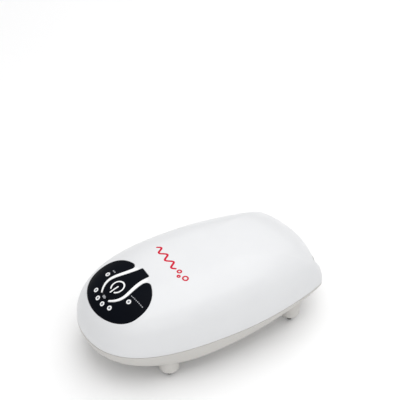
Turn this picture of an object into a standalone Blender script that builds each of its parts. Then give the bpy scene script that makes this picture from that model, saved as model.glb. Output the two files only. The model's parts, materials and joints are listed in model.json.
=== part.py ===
"""Battery-backed aquarium air pump with two outlets, modelled as it comes apart on a bench.

Axes: +X is the pump's right side, +Y runs from the control panel to the air outlets, +Z is up.
The origin is on the ground, under the middle of the bounding box.
"""

import math

import bmesh
import bpy
from mathutils import Matrix, Vector

MM = 0.001

# ---- Case shape -------------------------------------------------------------------------------
LENGTH = 160 * MM
WIDTH = 90 * MM
HEIGHT = 57 * MM
SEAM_Z = 25.2 * MM
BELLY_Z = 15.2 * MM
BELLY_RISE = 4.5 * MM
WALL = 2.2 * MM
GAP = 0.3 * MM
BEYOND = 0.1

# Plan outline: where it is widest, how full its curves are, and its rear corner.
WIDEST_Y = 2 * MM
NOSE_PULL = 0.82
NOSE_SIDE_PULL = 0.57
SIDE_PULL = 0.49
REAR_PULL = 0.42
CORNER = Vector((32.7 * MM, 71.4 * MM))
CORNER_TURN = math.radians(30)
CORNER_IN = 4.2 * MM
CORNER_OUT = 4.7 * MM

# The dome is a superellipse whose power changes from nose to side to rear; the tray rolls under.
CROWN_Y = -19 * MM
DOME_POWERS = (2.6, 3.2, 3.8)
DOME_ROUND = 2.2
ROLL_UNDER = (21 * MM, 2.5 * MM, 21 * MM)
DOME_LEVELS = 9
TRAY_LEVELS = 5
OUTLINE_STEPS = (8, 6, 5)

# ---- Control panel ----------------------------------------------------------------------------
PANEL_Y = -55.5 * MM
PANEL_HALF_WIDTH = 25 * MM
PANEL_NOSE = 17.3 * MM
PANEL_REAR = 17.5 * MM
PANEL_REAR_POWER = 2.4
PANEL_PROUD = 0.25 * MM
PANEL_SINK = 0.6 * MM
LOBE_ROUND = 5 * MM
LOBE_PULL = 0.6
RIDGE_TIP = Vector((4.7 * MM, -64.1 * MM))
RIDGE_BULGE = Vector((9.3 * MM, -56.3 * MM))
RIDGE_END = Vector((5.9 * MM, -36.0 * MM))
RIDGE_TIP_PULL = Vector((2.3 * MM, 1.7 * MM))
RIDGE_BULGE_PULLS = (Vector((0, 3.3 * MM)), Vector((0, 4.8 * MM)))
RIDGE_END_PULL = Vector((0.3 * MM, 10.5 * MM))
RIDGE_STEPS = (8, 12)
RIDGE_HALF_WIDTHS = (0.5 * MM, 0.95 * MM, 1.4 * MM)
KEY_FRONT_Y = -64.6 * MM
KEY_REAR_Y = -36.6 * MM
KEY_TILT = math.radians(15)
LENS_RADIUS = 1.55 * MM
BUTTON_STEM_RADIUS = 1.8 * MM
LENS_PLACES = {
    "charge_lens_1": (-9 * MM, -65.8 * MM),
    "charge_lens_2": (-3 * MM, -67.6 * MM),
    "charge_lens_3": (3 * MM, -67.6 * MM),
    "charge_lens_4": (9 * MM, -65.8 * MM),
    "power_lens": (-14 * MM, -55.4 * MM),
    "pump_lens": (14 * MM, -55.4 * MM),
}

# ---- Feet and case screws ---------------------------------------------------------------------
FOOT_PLACES = {"front": (32.4 * MM, -38.9 * MM, 13.9 * MM), "rear": (28 * MM, 51.5 * MM, 19.2 * MM)}
FOOT_RADIUS = 6.3 * MM
FOOT_BASE_Z = 2.8 * MM
FOOT_BOWL = 4.4 * MM
FOOT_STEPS = 7
PAD_RADIUS = 1.6 * MM
PAD_TOP_Z = 5 * MM
SCREW_PLACES = {"front": (20 * MM, -62 * MM, 18.7 * MM), "rear": (32.2 * MM, 60.4 * MM, 22.2 * MM)}
SCREW_RADIUS = 1.5 * MM
SCREW_HEAD_RADIUS = 2.9 * MM
SCREW_LENGTH = 14 * MM
BOSS_RADIUS = 3.2 * MM
BOSS_LAP = 1 * MM

# ---- Outlet bay in the rear wall --------------------------------------------------------------
BAY_HALF_WIDTH = 26.5 * MM
BAY_Y = 62 * MM
BAY_Z = (28 * MM, 40.5 * MM)
BAY_WALL = 2 * MM
BAY_CORNER = 2 * MM
NOZZLE_X = 18 * MM
NOZZLE_RADIUS = 2.6 * MM
AIR_Z = 34 * MM
NOZZLE_TIP_Y = 74 * MM

# ---- Air filter under the tray ----------------------------------------------------------------
FILTER_Y = 30 * MM
FILTER_RADIUS = 10.5 * MM
COVER_RADIUS = 12.7 * MM

# ---- Pump unit --------------------------------------------------------------------------------
CHASSIS_Z = (23.4 * MM, 25.4 * MM)
CHASSIS_HALF_WIDTH = 33 * MM
CHASSIS_Y = (-14 * MM, 50 * MM)
MOUNT_PLACES = {"front": (28 * MM, -9 * MM), "rear": (22 * MM, 44 * MM)}
MOUNT_RADIUS = 3 * MM
MOUNT_Z = (20.5 * MM, CHASSIS_Z[0] - GAP)
CORE_Z = (28 * MM, 40 * MM)
LEG_FACE_Y = 12 * MM
HINGE_X = 11.5 * MM
HINGE_Y = 44 * MM
PIN_RADIUS = 1.2 * MM
PIN_Z = (26.5 * MM, 42 * MM)
PIN_CLEARANCE = 0.12 * MM
EYE_RADIUS = 3 * MM
ARM_Z = (30 * MM, 38 * MM)
PADDLE_Y = (17.8 * MM, 20.8 * MM)
STUD_RADIUS = 2 * MM
MAGNET_X = (4 * MM, 11 * MM)
MAGNET_Y = (13.5 * MM, 17.5 * MM)
MAGNET_Z = (29.5 * MM, 38.5 * MM)
DISC_X = (16.2 * MM, 17.2 * MM)
DISC_RADIUS = 4.2 * MM
DIAPHRAGM_Y = 30 * MM
CHAMBER_X = (21 * MM, 30 * MM)
CHAMBER_HALF = 8.5 * MM
CHAMBER_Z = (25.7 * MM, 42.3 * MM)
PORT_X = 28 * MM
NIPPLE_TIP_Y = 43.5 * MM
NIPPLE_RADII = (2.4 * MM, 2 * MM)
SWEPT_RADIUS = 7.2 * MM
ROOM_X = (26 * MM, 31 * MM)
ROOM_Z = (28 * MM, 40 * MM)
VALVE_HOLE_RADIUS = 1.2 * MM
AIR_BORE_RADIUS = 1.3 * MM
VENT_RADIUS = 1.5 * MM
FLAP_Z = (30.5 * MM, 37.5 * MM)
TUBE_Y = (39.4 * MM, 57.6 * MM)
TUBE_RADII = (3.5 * MM, 2.7 * MM)

# ---- Battery and electronics ------------------------------------------------------------------
CELL_RADIUS = 9.2 * MM
CELL_LENGTH = 65 * MM
CELL_Z = 27.6 * MM
CELL_PLACES = {"front": -45 * MM, "rear": -26 * MM}
STRIP_Y = (-50 * MM, -21 * MM)
STRIP_THICKNESS = 0.3 * MM
BOARD_Y = -52 * MM
BOARD_Z = 43.4 * MM
BOARD_THICKNESS = 1.6 * MM
BOARD_HALVES = (19 * MM, 14 * MM)
POST_PLACE = (15.5 * MM, -48 * MM, 45 * MM)
POST_RADIUS = 2 * MM


# ---- Scene, materials and modifiers -----------------------------------------------------------
for old in list(bpy.data.objects):
    bpy.data.objects.remove(old)

PARTS = bpy.data.collections.new("air_pump")
CUTTERS = bpy.data.collections.new("air_pump_cutters")
bpy.context.scene.collection.children.link(PARTS)
bpy.context.scene.collection.children.link(CUTTERS)


def material(name, colour, roughness, metallic=0.0):
    found = bpy.data.materials.get(name)
    if found:
        return found
    made = bpy.data.materials.new(name)
    made.use_nodes = True
    shader = made.node_tree.nodes["Principled BSDF"]
    shader.inputs["Base Color"].default_value = (*colour, 1.0)
    shader.inputs["Roughness"].default_value = roughness
    shader.inputs["Metallic"].default_value = metallic
    return made


MATERIALS = {
    "white_shell": ((0.86, 0.87, 0.88), 0.28, 0.0),
    "ivory_tray": ((0.70, 0.69, 0.66), 0.35, 0.0),
    "black_panel": ((0.008, 0.010, 0.014), 0.22, 0.0),
    "clear_lens": ((0.80, 0.82, 0.84), 0.20, 0.0),
    "black_rubber": ((0.02, 0.02, 0.02), 0.75, 0.0),
    "grey_rubber": ((0.18, 0.18, 0.18), 0.70, 0.0),
    "steel": ((0.55, 0.56, 0.58), 0.35, 1.0),
    "core_steel": ((0.28, 0.29, 0.31), 0.45, 1.0),
    "copper": ((0.72, 0.33, 0.14), 0.35, 1.0),
    "magnet": ((0.40, 0.41, 0.43), 0.30, 1.0),
    "nickel": ((0.60, 0.58, 0.52), 0.32, 1.0),
    "circuit_board": ((0.02, 0.16, 0.07), 0.45, 0.0),
    "cell_wrap": ((0.05, 0.20, 0.45), 0.40, 0.0),
    "grey_plastic": ((0.30, 0.31, 0.32), 0.45, 0.0),
    "frosted_plastic": ((0.62, 0.63, 0.62), 0.45, 0.0),
    "clear_tube": ((0.75, 0.78, 0.78), 0.30, 0.0),
    "felt": ((0.55, 0.56, 0.58), 0.95, 0.0),
}


def finish(piece, look):
    """Put a finished sub-part in the object's collection with its own material."""
    piece.data.materials.append(material(look, *MATERIALS[look]))
    PARTS.objects.link(piece)
    return piece


def guide(piece):
    """Keep a cutter or a joined feature out of the object."""
    piece.hide_render = True
    piece.display_type = "WIRE"
    CUTTERS.objects.link(piece)
    return piece


def combine(target, tool, operation):
    if not tool.users_collection:
        guide(tool)
    step = target.modifiers.new(f"{operation.lower()} {tool.name}", "BOOLEAN")
    step.operation = operation
    step.object = tool
    step.solver = "EXACT"
    return target


def cut(target, *tools):
    for tool in tools:
        combine(target, tool, "DIFFERENCE")
    return target


def join(target, *tools):
    for tool in tools:
        combine(target, tool, "UNION")
    return target


def within(target, tool):
    return combine(target, tool, "INTERSECT")


def soften(target, width, segments=1):
    edge = target.modifiers.new("softened edges", "BEVEL")
    edge.width = width
    edge.segments = segments
    edge.limit_method = "ANGLE"
    edge.angle_limit = math.radians(40)
    return target


# ---- Basic solids -----------------------------------------------------------------------------
def solid(name, shape, smooth=False):
    """Make an object from a filled bmesh, which is freed."""
    mesh = bpy.data.meshes.new(name)
    shape.to_mesh(mesh)
    shape.free()
    if smooth:
        mesh.shade_smooth()
        mesh.set_sharp_from_angle(angle=math.radians(35))
    return bpy.data.objects.new(name, mesh)


def box(name, low, high):
    size = [high[i] - low[i] for i in range(3)]
    middle = [(high[i] + low[i]) / 2 for i in range(3)]
    shape = bmesh.new()
    bmesh.ops.create_cube(shape, size=1, matrix=Matrix.Translation(middle) @ Matrix.Diagonal((*size, 1)))
    return solid(name, shape)


def side_box(name, side, x, y, z):
    """A box given for the right side, or mirrored to the left with side -1."""
    ends = sorted((x[0] * side, x[1] * side))
    return box(name, (ends[0], y[0], z[0]), (ends[1], y[1], z[1]))


def rod(name, start, end, radius, end_radius=None, segments=16):
    start, end = Vector(start), Vector(end)
    along = end - start
    turn = Vector((0, 0, 1)).rotation_difference(along).to_matrix().to_4x4()
    shape = bmesh.new()
    bmesh.ops.create_cone(
        shape,
        cap_ends=True,
        segments=segments,
        radius1=radius,
        radius2=radius if end_radius is None else end_radius,
        depth=along.length,
        matrix=Matrix.Translation((start + end) / 2) @ turn,
    )
    return solid(name, shape, smooth=True)


def turned(name, profile, place=(0, 0, 0), axis=(0, 0, 1), segments=20):
    """Turn a profile of (radius, height) pairs, listed from the top down, about an axis."""
    shape = bmesh.new()
    points = [shape.verts.new((radius, 0, height)) for radius, height in profile]
    for first, second in zip(points, points[1:]):
        shape.edges.new((first, second))
    piece = solid(name, shape)
    piece.rotation_euler = Vector((0, 0, 1)).rotation_difference(Vector(axis)).to_euler()
    piece.location = place
    screw = piece.modifiers.new("turned", "SCREW")
    screw.steps = segments
    screw.render_steps = segments
    screw.use_merge_vertices = True
    screw.merge_threshold = 0.00001
    screw.use_smooth_shade = True
    return piece


def meshed(name, curve_data):
    """Turn a curve into a welded closed mesh, so that it can be cut."""
    curve = bpy.data.objects.new(name + "_curve", curve_data)
    CUTTERS.objects.link(curve)
    bpy.context.view_layer.update()
    evaluated = curve.evaluated_get(bpy.context.evaluated_depsgraph_get())
    mesh = bpy.data.meshes.new_from_object(evaluated)
    bpy.data.objects.remove(curve)
    shape = bmesh.new()
    shape.from_mesh(mesh)
    bmesh.ops.remove_doubles(shape, verts=shape.verts, dist=0.000001)
    bmesh.ops.recalc_face_normals(shape, faces=shape.faces)
    return solid(name, shape)


def flat_solid(name, outline, low, high):
    """A flat outline in X and Y, extruded from low to high."""
    data = bpy.data.curves.new(name, "CURVE")
    data.dimensions = "2D"
    data.fill_mode = "BOTH"
    data.extrude = (high - low) / 2
    spline = data.splines.new("POLY")
    spline.points.add(len(outline) - 1)
    for point, place in zip(spline.points, outline):
        point.co = (place[0], place[1], 0, 1)
    spline.use_cyclic_u = True
    piece = meshed(name, data)
    piece.location.z = (high + low) / 2
    return piece


def wire(name, points, radius):
    data = bpy.data.curves.new(name, "CURVE")
    data.dimensions = "3D"
    data.bevel_depth = radius
    data.bevel_resolution = 2
    data.use_fill_caps = True
    spline = data.splines.new("POLY")
    spline.points.add(len(points) - 1)
    for point, place in zip(spline.points, points):
        point.co = (*place, 1)
    return meshed(name, data)


# ---- Case surface -----------------------------------------------------------------------------
def cubic(start, pull_out, pull_in, end, steps):
    """Points of a cubic curve, without its last one."""
    points = []
    for step in range(steps):
        t = step / steps
        u = 1 - t
        points.append(start * u**3 + pull_out * 3 * t * u**2 + pull_in * 3 * t**2 * u + end * t**3)
    return points


def half_outline():
    """The right half of the plan outline, from the nose to the rear."""
    half = WIDTH / 2
    nose = Vector((0, -LENGTH / 2))
    widest = Vector((half, WIDEST_Y))
    rear = Vector((0, LENGTH / 2))
    turn = Vector((-math.sin(CORNER_TURN), math.cos(CORNER_TURN)))
    nose_side = widest - Vector((0, NOSE_SIDE_PULL * (WIDEST_Y + LENGTH / 2)))
    side = widest + Vector((0, SIDE_PULL * (CORNER.y - WIDEST_Y)))
    points = cubic(nose, Vector((NOSE_PULL * half, nose.y)), nose_side, widest, OUTLINE_STEPS[0])
    points += cubic(widest, side, CORNER - turn * CORNER_IN, CORNER, OUTLINE_STEPS[1])
    rear_pull = Vector((REAR_PULL * CORNER.x, rear.y))
    points += cubic(CORNER, CORNER + turn * CORNER_OUT, rear_pull, rear, OUTLINE_STEPS[2])
    return points + [rear]


def offset(points, distance, closed=True):
    """Move each point of a counter-clockwise outline outwards."""
    moved = []
    count = len(points)
    for index, point in enumerate(points):
        before = points[index - 1] if closed or index > 0 else point
        after = points[(index + 1) % count] if closed or index < count - 1 else point
        along = (after - before).normalized()
        moved.append(point + Vector((along.y, -along.x)) * distance)
    return moved


def plan_outline(inset=0.0):
    right = half_outline()
    left = [Vector((-point.x, point.y)) for point in right[-2:0:-1]]
    return offset(right + left, -inset)


def side_of(point):
    """-1 where a plan point lies towards the nose, 0 beside the crown and 1 towards the rear."""
    ahead = point.y - CROWN_Y
    reach = LENGTH / 2 - CROWN_Y if ahead > 0 else LENGTH / 2 + CROWN_Y
    return math.atan2(ahead / reach, abs(point.x) / (WIDTH / 2)) / (math.pi / 2)


def vary(values, towards):
    """Blend smoothly between the values for nose, side and rear."""
    nose, side, rear = values
    share = abs(towards) ** 2 * (3 - 2 * abs(towards))
    return side + ((rear if towards > 0 else nose) - side) * share


def belly_height(y):
    return BELLY_Z + BELLY_RISE * y / (LENGTH / 2)


def hull_rings(inset):
    """Rings of points from just under the crown down to the edge of the flat underside."""
    outline = plan_outline(inset)
    crown = Vector((0, CROWN_Y))
    rings = []
    for level in range(DOME_LEVELS - 1, -1, -1):
        climb = math.pi / 2 * level / DOME_LEVELS
        height = SEAM_Z + (HEIGHT - inset - SEAM_Z) * math.sin(climb) ** (2 / DOME_ROUND)
        ring = []
        for point in outline:
            draw_in = math.cos(climb) ** (2 / vary(DOME_POWERS, side_of(point)))
            ring.append((*(crown + (point - crown) * draw_in), height))
        rings.append(ring)
    for level in range(1, TRAY_LEVELS + 1):
        roll = math.pi / 2 * level / TRAY_LEVELS
        ring = []
        for point in outline:
            arm = point - crown
            under = vary(ROLL_UNDER, side_of(point)) * (1 - math.cos(roll))
            place = point - arm.normalized() * under
            depth = SEAM_Z - belly_height(place.y) - inset
            ring.append((*place, SEAM_Z - depth * math.sin(roll)))
        rings.append(ring)
    return rings


def hull(name, inset):
    """The closed solid inside the case surface, moved in by inset."""
    shape = bmesh.new()
    rings = [[shape.verts.new(place) for place in ring] for ring in hull_rings(inset)]
    top = shape.verts.new((0, CROWN_Y, HEIGHT - inset))
    bottom = shape.verts.new((0, CROWN_Y, belly_height(CROWN_Y) + inset))
    count = len(rings[0])
    for index in range(count):
        following = (index + 1) % count
        shape.faces.new((top, rings[0][index], rings[0][following]))
        shape.faces.new((bottom, rings[-1][following], rings[-1][index]))
        for upper, lower in zip(rings, rings[1:]):
            shape.faces.new((upper[index], lower[index], lower[following], upper[following]))
    return solid(name, shape, smooth=True)


def surface_height(x, y):
    """Height of the dome over a plan point."""
    crown = Vector((0, CROWN_Y))
    ray = Vector((x, y)) - crown
    outline = plan_outline()
    for first, second in zip(outline, outline[1:] + outline[:1]):
        edge = second - first
        across = ray.x * edge.y - ray.y * edge.x
        if abs(across) < 1e-15:
            continue
        start = first - crown
        reach = (start.x * edge.y - start.y * edge.x) / across
        share = (start.x * ray.y - start.y * ray.x) / across
        if reach > 0 and 0 <= share <= 1:
            power = vary(DOME_POWERS, side_of(crown + ray * reach))
            return SEAM_Z + (HEIGHT - SEAM_Z) * (1 - (1 / reach) ** power) ** (1 / DOME_ROUND)
    return SEAM_Z


def surface_normal(x, y):
    step = 0.5 * MM
    slope_x = (surface_height(x + step, y) - surface_height(x - step, y)) / (2 * step)
    slope_y = (surface_height(x, y + step) - surface_height(x, y - step)) / (2 * step)
    return Vector((-slope_x, -slope_y, 1)).normalized()


# ---- Panel outlines ---------------------------------------------------------------------------
def panel_power(behind):
    return PANEL_REAR_POWER if behind else 2.0


def panel_curve(turn):
    """A point of the panel's rim; turn 0 is its right side and a quarter turn its rear."""
    reach = PANEL_REAR if math.sin(turn) > 0 else PANEL_NOSE
    power = panel_power(math.sin(turn) > 0)
    across = math.copysign(abs(math.cos(turn)) ** (2 / power), math.cos(turn))
    ahead = math.copysign(abs(math.sin(turn)) ** (2 / power), math.sin(turn))
    return Vector((across * PANEL_HALF_WIDTH, PANEL_Y + ahead * reach))


def inside_panel(point):
    reach = PANEL_REAR if point.y > PANEL_Y else PANEL_NOSE
    power = panel_power(point.y > PANEL_Y)
    across = abs(point.x) / PANEL_HALF_WIDTH
    ahead = abs(point.y - PANEL_Y) / reach
    return across**power + ahead**power < 1


def ridge_line():
    """Centre line and half width of the right white ridge, from its front tip to its rear end."""
    ahead, behind = RIDGE_STEPS
    bulge_in = RIDGE_BULGE - RIDGE_BULGE_PULLS[0]
    bulge_out = RIDGE_BULGE + RIDGE_BULGE_PULLS[1]
    forward = cubic(RIDGE_TIP, RIDGE_TIP + RIDGE_TIP_PULL, bulge_in, RIDGE_BULGE, ahead)
    back = cubic(RIDGE_BULGE, bulge_out, RIDGE_END - RIDGE_END_PULL, RIDGE_END, behind)
    tip, bulge, end = RIDGE_HALF_WIDTHS
    widths = [tip + (bulge - tip) * step / ahead for step in range(ahead)]
    widths += [bulge + (end - bulge) * step / behind for step in range(behind + 1)]
    return forward + back + [RIDGE_END], widths


def beside(line, distances):
    """A line's points, each moved to the right of the line by its own distance."""
    moved = []
    for index, (point, distance) in enumerate(zip(line, distances)):
        before = line[max(index - 1, 0)]
        after = line[min(index + 1, len(line) - 1)]
        along = (after - before).normalized()
        moved.append(point + Vector((along.y, -along.x)) * distance)
    return moved


def ridge_edge(towards_key, clear):
    """One edge of the right ridge, moved away from the ridge by clear."""
    line, widths = ridge_line()
    sign = -1 if towards_key else 1
    return beside(line, [sign * (width + clear) for width in widths])


def mirrored(points):
    return [Vector((-point.x, point.y)) for point in reversed(points)]


def key_outline(clear):
    """The power key's outline, kept clear of the ridges beside it."""
    edge = [point for point in ridge_edge(True, clear) if point.y < KEY_REAR_Y - 1.0 * MM]
    half_end = edge[-1].x
    rear = KEY_REAR_Y + GAP - clear
    edge += [Vector((half_end, rear - 0.5 * MM)), Vector((half_end - 0.5 * MM, rear))]
    front = Vector((0, KEY_FRONT_Y - GAP + clear))
    return edge + mirrored(edge) + [front]


def overlay_outline(grow):
    """The black panel's outline: the rim, two rounded lobes and the cut-out for key and ridges.

    Grown by GAP it is the pocket in the shell, whose front then runs into the key's window.
    """
    edge = ridge_edge(False, GAP)
    inner = [point for point in edge if inside_panel(point)]
    corner = edge[len(inner)]
    inner = [point for point in inner if (point - corner).length > LOBE_ROUND]
    tip_radius = RIDGE_HALF_WIDTHS[0] + GAP - grow
    share = grow / GAP
    cap = []
    for step in range(7):
        turn = math.radians(180 - 40 * share + (110 + 40 * share) * step / 6)
        cap.append(RIDGE_TIP + Vector((math.cos(turn), math.sin(turn))) * tip_radius)
    rim = []
    steps = 26
    for step in range(steps + 1):
        turn = math.pi / 2 - math.pi * step / steps
        point = panel_curve(turn)
        between_lobes = point.y > PANEL_Y and point.x < corner.x
        if not between_lobes and (point - corner).length > LOBE_ROUND:
            rim.append(point)
    start = inner[-1]
    end = rim[0]
    lobe = cubic(start, start.lerp(corner, LOBE_PULL), end.lerp(corner, LOBE_PULL), end, 6)[1:]
    nose = Vector((0, PANEL_Y - PANEL_NOSE - grow))
    round_trip = inner + lobe + rim[:-1]
    right = cap + beside(round_trip, [-grow] * len(round_trip))
    front = Vector((0, KEY_FRONT_Y - GAP + 1.2 * MM * share))
    return [front] + right + [nose] + mirrored(right)


# ---- Case -------------------------------------------------------------------------------------
CAVITY = guide(hull("cavity", WALL))
MID_WALL = guide(hull("mid_wall", 1.0 * MM))
PANEL_TOP = guide(hull("panel_top", -PANEL_PROUD))
PANEL_FLOOR = guide(hull("panel_floor", PANEL_SINK))
POCKET_FLOOR = guide(hull("pocket_floor", PANEL_SINK + GAP))
BELOW_SEAM = guide(box("below_seam", (-BEYOND, -BEYOND, -BEYOND), (BEYOND, BEYOND, SEAM_Z + GAP / 2)))
ABOVE_SEAM = guide(box("above_seam", (-BEYOND, -BEYOND, SEAM_Z - GAP / 2), (BEYOND, BEYOND, BEYOND)))


def lens_rod(name, place, radius, top, bottom):
    """A rod along the dome's normal at a plan point, from top above the surface to bottom below it."""
    x, y = place
    surface = Vector((x, y, surface_height(x, y)))
    normal = surface_normal(x, y)
    return rod(name, surface - normal * bottom, surface + normal * top, radius, segments=20)


def upper_shell():
    shell = hull("upper_shell", 0)
    cut(shell, CAVITY)
    for end, (x, y, _) in SCREW_PLACES.items():
        for side in (-1, 1):
            foot = (x * side, y, SEAM_Z - BOSS_LAP)
            boss = rod(f"upper_boss_{end}_{side}", foot, (x * side, y, HEIGHT), BOSS_RADIUS)
            join(shell, within(boss, MID_WALL))
    for side in (-1, 1):
        x, y, low = POST_PLACE
        post = rod(f"board_post_{side}", (x * side, y, low), (x * side, y, HEIGHT), POST_RADIUS)
        join(shell, within(post, MID_WALL))
    block = box(
        "bay_block",
        (-BAY_HALF_WIDTH - BAY_WALL, BAY_Y - BAY_WALL, SEAM_Z - BOSS_LAP),
        (BAY_HALF_WIDTH + BAY_WALL, BEYOND, BAY_Z[1] + BAY_WALL),
    )
    ledge = box("board_ledge", (-7 * MM, 52 * MM, 28.6 * MM), (7 * MM, BAY_Y - 1 * MM, 30.7 * MM))
    join(shell, within(block, MID_WALL), ledge)
    bay = box("bay", (-BAY_HALF_WIDTH, BAY_Y, BAY_Z[0]), (BAY_HALF_WIDTH, BEYOND, BAY_Z[1]))
    socket_hole = box("socket_hole", (-4.1 * MM, 58 * MM, 32.2 * MM), (4.1 * MM, 64 * MM, 35.5 * MM))
    cut(shell, BELOW_SEAM, soften(bay, BAY_CORNER, 2), socket_hole)
    for side in (-1, 1):
        x = NOZZLE_X * side
        hole = rod(f"nozzle_hole_{side}", (x, 58 * MM, AIR_Z), (x, 64 * MM, AIR_Z), NOZZLE_RADIUS + GAP)
        cut(shell, hole)
        for end, (x, y, head_z) in SCREW_PLACES.items():
            top = (x * side, y, head_z + SCREW_LENGTH + 1 * MM)
            cut(shell, rod(f"pilot_{end}_{side}", (x * side, y, 20 * MM), top, SCREW_RADIUS + GAP))
    pocket = flat_solid("panel_pocket", overlay_outline(GAP), 30 * MM, 60 * MM)
    window = flat_solid("key_window", key_outline(0), 30 * MM, 60 * MM)
    cut(shell, cut(pocket, POCKET_FLOOR), window)
    for name, place in LENS_PLACES.items():
        cut(shell, lens_rod(f"hole_{name}", place, LENS_RADIUS + GAP, 2 * MM, 5 * MM))
    finish(shell, "white_shell")


def foot_profile(top):
    """A foot post turned from its top down to its bowl-shaped base."""
    profile = [(0, top), (FOOT_RADIUS + 0.2 * MM, top)]
    for step in range(FOOT_STEPS):
        turn = math.pi / 2 * step / FOOT_STEPS
        height = FOOT_BASE_Z + FOOT_BOWL * (1 - math.sin(turn))
        profile.append((FOOT_RADIUS * math.cos(turn), height))
    return profile + [(0, FOOT_BASE_Z)]


def belly_frame(y):
    """Placement on the sloping underside: local Z points into the case."""
    slope = math.atan2(BELLY_RISE, LENGTH / 2)
    return Matrix.Translation((0, y, belly_height(y))) @ Matrix.Rotation(slope, 4, "X")


def on_belly(piece):
    piece.matrix_world = belly_frame(FILTER_Y)
    return piece


def lower_shell():
    shell = hull("lower_shell", 0)
    cut(shell, CAVITY)
    for end, (x, y, head_z) in SCREW_PLACES.items():
        for side in (-1, 1):
            low = (x * side, y, BELLY_Z / 2)
            high = (x * side, y, SEAM_Z + BOSS_LAP)
            boss = rod(f"lower_boss_{end}_{side}", low, high, BOSS_RADIUS + 1 * MM)
            join(shell, within(boss, MID_WALL))
    for end, (x, y, top) in FOOT_PLACES.items():
        for side in (-1, 1):
            join(shell, turned(f"foot_post_{end}_{side}", foot_profile(top), place=(x * side, y, 0)))
    for end, (x, y) in MOUNT_PLACES.items():
        for side in (-1, 1):
            low = (x * side, y, belly_height(y) + WALL / 2)
            high = (x * side, y, MOUNT_Z[0] - GAP)
            join(shell, rod(f"mount_post_{end}_{side}", low, high, MOUNT_RADIUS))
    cup = rod("filter_cup", (0, 0, 1.1 * MM), (0, 0, 5.6 * MM), FILTER_RADIUS + 1.8 * MM, segments=24)
    join(shell, on_belly(cup))
    cut(shell, ABOVE_SEAM)
    bore = rod("filter_bore", (0, 0, -1 * MM), (0, 0, 7 * MM), FILTER_RADIUS + GAP, segments=24)
    seat = rod("cover_seat", (0, 0, -1 * MM), (0, 0, 1.3 * MM), COVER_RADIUS + GAP, segments=24)
    cut(shell, on_belly(bore), on_belly(seat))
    for end, (x, y, head_z) in SCREW_PLACES.items():
        for side in (-1, 1):
            ground = (x * side, y, 0)
            clear = rod(f"screw_way_{end}_{side}", ground, (x * side, y, 30 * MM), SCREW_RADIUS + GAP)
            seat = (x * side, y, head_z + GAP)
            head = rod(f"head_way_{end}_{side}", ground, seat, SCREW_HEAD_RADIUS + GAP)
            cut(shell, clear, head)
    for end, (x, y, _) in FOOT_PLACES.items():
        for side in (-1, 1):
            high = (x * side, y, PAD_TOP_Z + GAP)
            cut(shell, rod(f"pad_socket_{end}_{side}", (x * side, y, 0), high, PAD_RADIUS + GAP))
    finish(shell, "ivory_tray")


def feet_and_screws():
    for end, (x, y, _) in FOOT_PLACES.items():
        for side, hand in ((-1, "left"), (1, "right")):
            pad = rod(f"foot_pad_{end}_{hand}", (x * side, y, 0), (x * side, y, PAD_TOP_Z), PAD_RADIUS)
            finish(soften(pad, 0.4 * MM), "black_rubber")
    for end, (x, y, head_z) in SCREW_PLACES.items():
        for side, hand in ((-1, "left"), (1, "right")):
            profile = [
                (0, SCREW_LENGTH),
                (0.5 * MM, SCREW_LENGTH),
                (SCREW_RADIUS, SCREW_LENGTH - 1.5 * MM),
                (SCREW_RADIUS, 0),
                (SCREW_HEAD_RADIUS, 0),
                (SCREW_HEAD_RADIUS, -1.2 * MM),
                (2 * MM, -1.8 * MM),
                (0, -1.8 * MM),
            ]
            screw = turned(f"case_screw_{end}_{hand}", profile, place=(x * side, y, head_z), segments=12)
            for turn in (0, 90):
                slot = box(
                    f"drive_{end}_{hand}_{turn}",
                    (-1.5 * MM, -0.3 * MM, -2 * MM),
                    (1.5 * MM, 0.3 * MM, -0.8 * MM),
                )
                slot.location = (x * side, y, head_z)
                slot.rotation_euler.z = math.radians(turn)
                cut(screw, slot)
            finish(screw, "steel")


def intake_filter():
    felt = rod("intake_filter", (0, 0, 1.3 * MM), (0, 0, 5.3 * MM), FILTER_RADIUS, segments=24)
    finish(on_belly(soften(felt, 0.4 * MM)), "felt")
    cover = rod("filter_cover", (0, 0, 0), (0, 0, 1.0 * MM), COVER_RADIUS, segments=24)
    for step in range(-2, 3):
        y = step * 3.4 * MM
        reach = math.sqrt((FILTER_RADIUS - 1.5 * MM) ** 2 - y**2)
        slot = box(f"cover_slot_{step}", (-reach, y - 0.8 * MM, -1 * MM), (reach, y + 0.8 * MM, 2 * MM))
        cut(cover, on_belly(slot))
    finish(on_belly(cover), "ivory_tray")


# ---- Control panel ----------------------------------------------------------------------------
def control_panel():
    overlay = flat_solid("control_panel", overlay_outline(0), 30 * MM, 60 * MM)
    within(overlay, PANEL_TOP)
    cut(overlay, PANEL_FLOOR)
    for name, place in LENS_PLACES.items():
        cut(overlay, bpy.data.objects[f"hole_{name}"])
        lens = lens_rod(name, place, LENS_RADIUS, PANEL_PROUD + 0.1 * MM, WALL + 0.2 * MM)
        finish(lens, "clear_lens")
    finish(overlay, "black_panel")


def press_frame():
    """Placement on the control board's top: local Z is the way the key springs back."""
    return Matrix.Translation((0, BOARD_Y, BOARD_Z)) @ Matrix.Rotation(KEY_TILT, 4, "X")


def on_board(piece):
    piece.matrix_world = press_frame()
    return piece


def power_button():
    key = flat_solid("power_button", key_outline(GAP), 30 * MM, 60 * MM)
    underside = guide(hull("key_underside", 3.4 * MM))
    within(key, PANEL_TOP)
    cut(key, underside)
    lugs = box("key_lugs", (-11 * MM, -58.5 * MM, 30 * MM), (11 * MM, -54.5 * MM, 60 * MM))
    within(lugs, guide(hull("lug_top", WALL + GAP)))
    cut(lugs, underside)
    stem = on_board(rod("key_stem", (0, 0, 5.2 * MM), (0, 0, 9 * MM), BUTTON_STEM_RADIUS))
    join(key, lugs, stem)
    finish(key, "black_panel")


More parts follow.
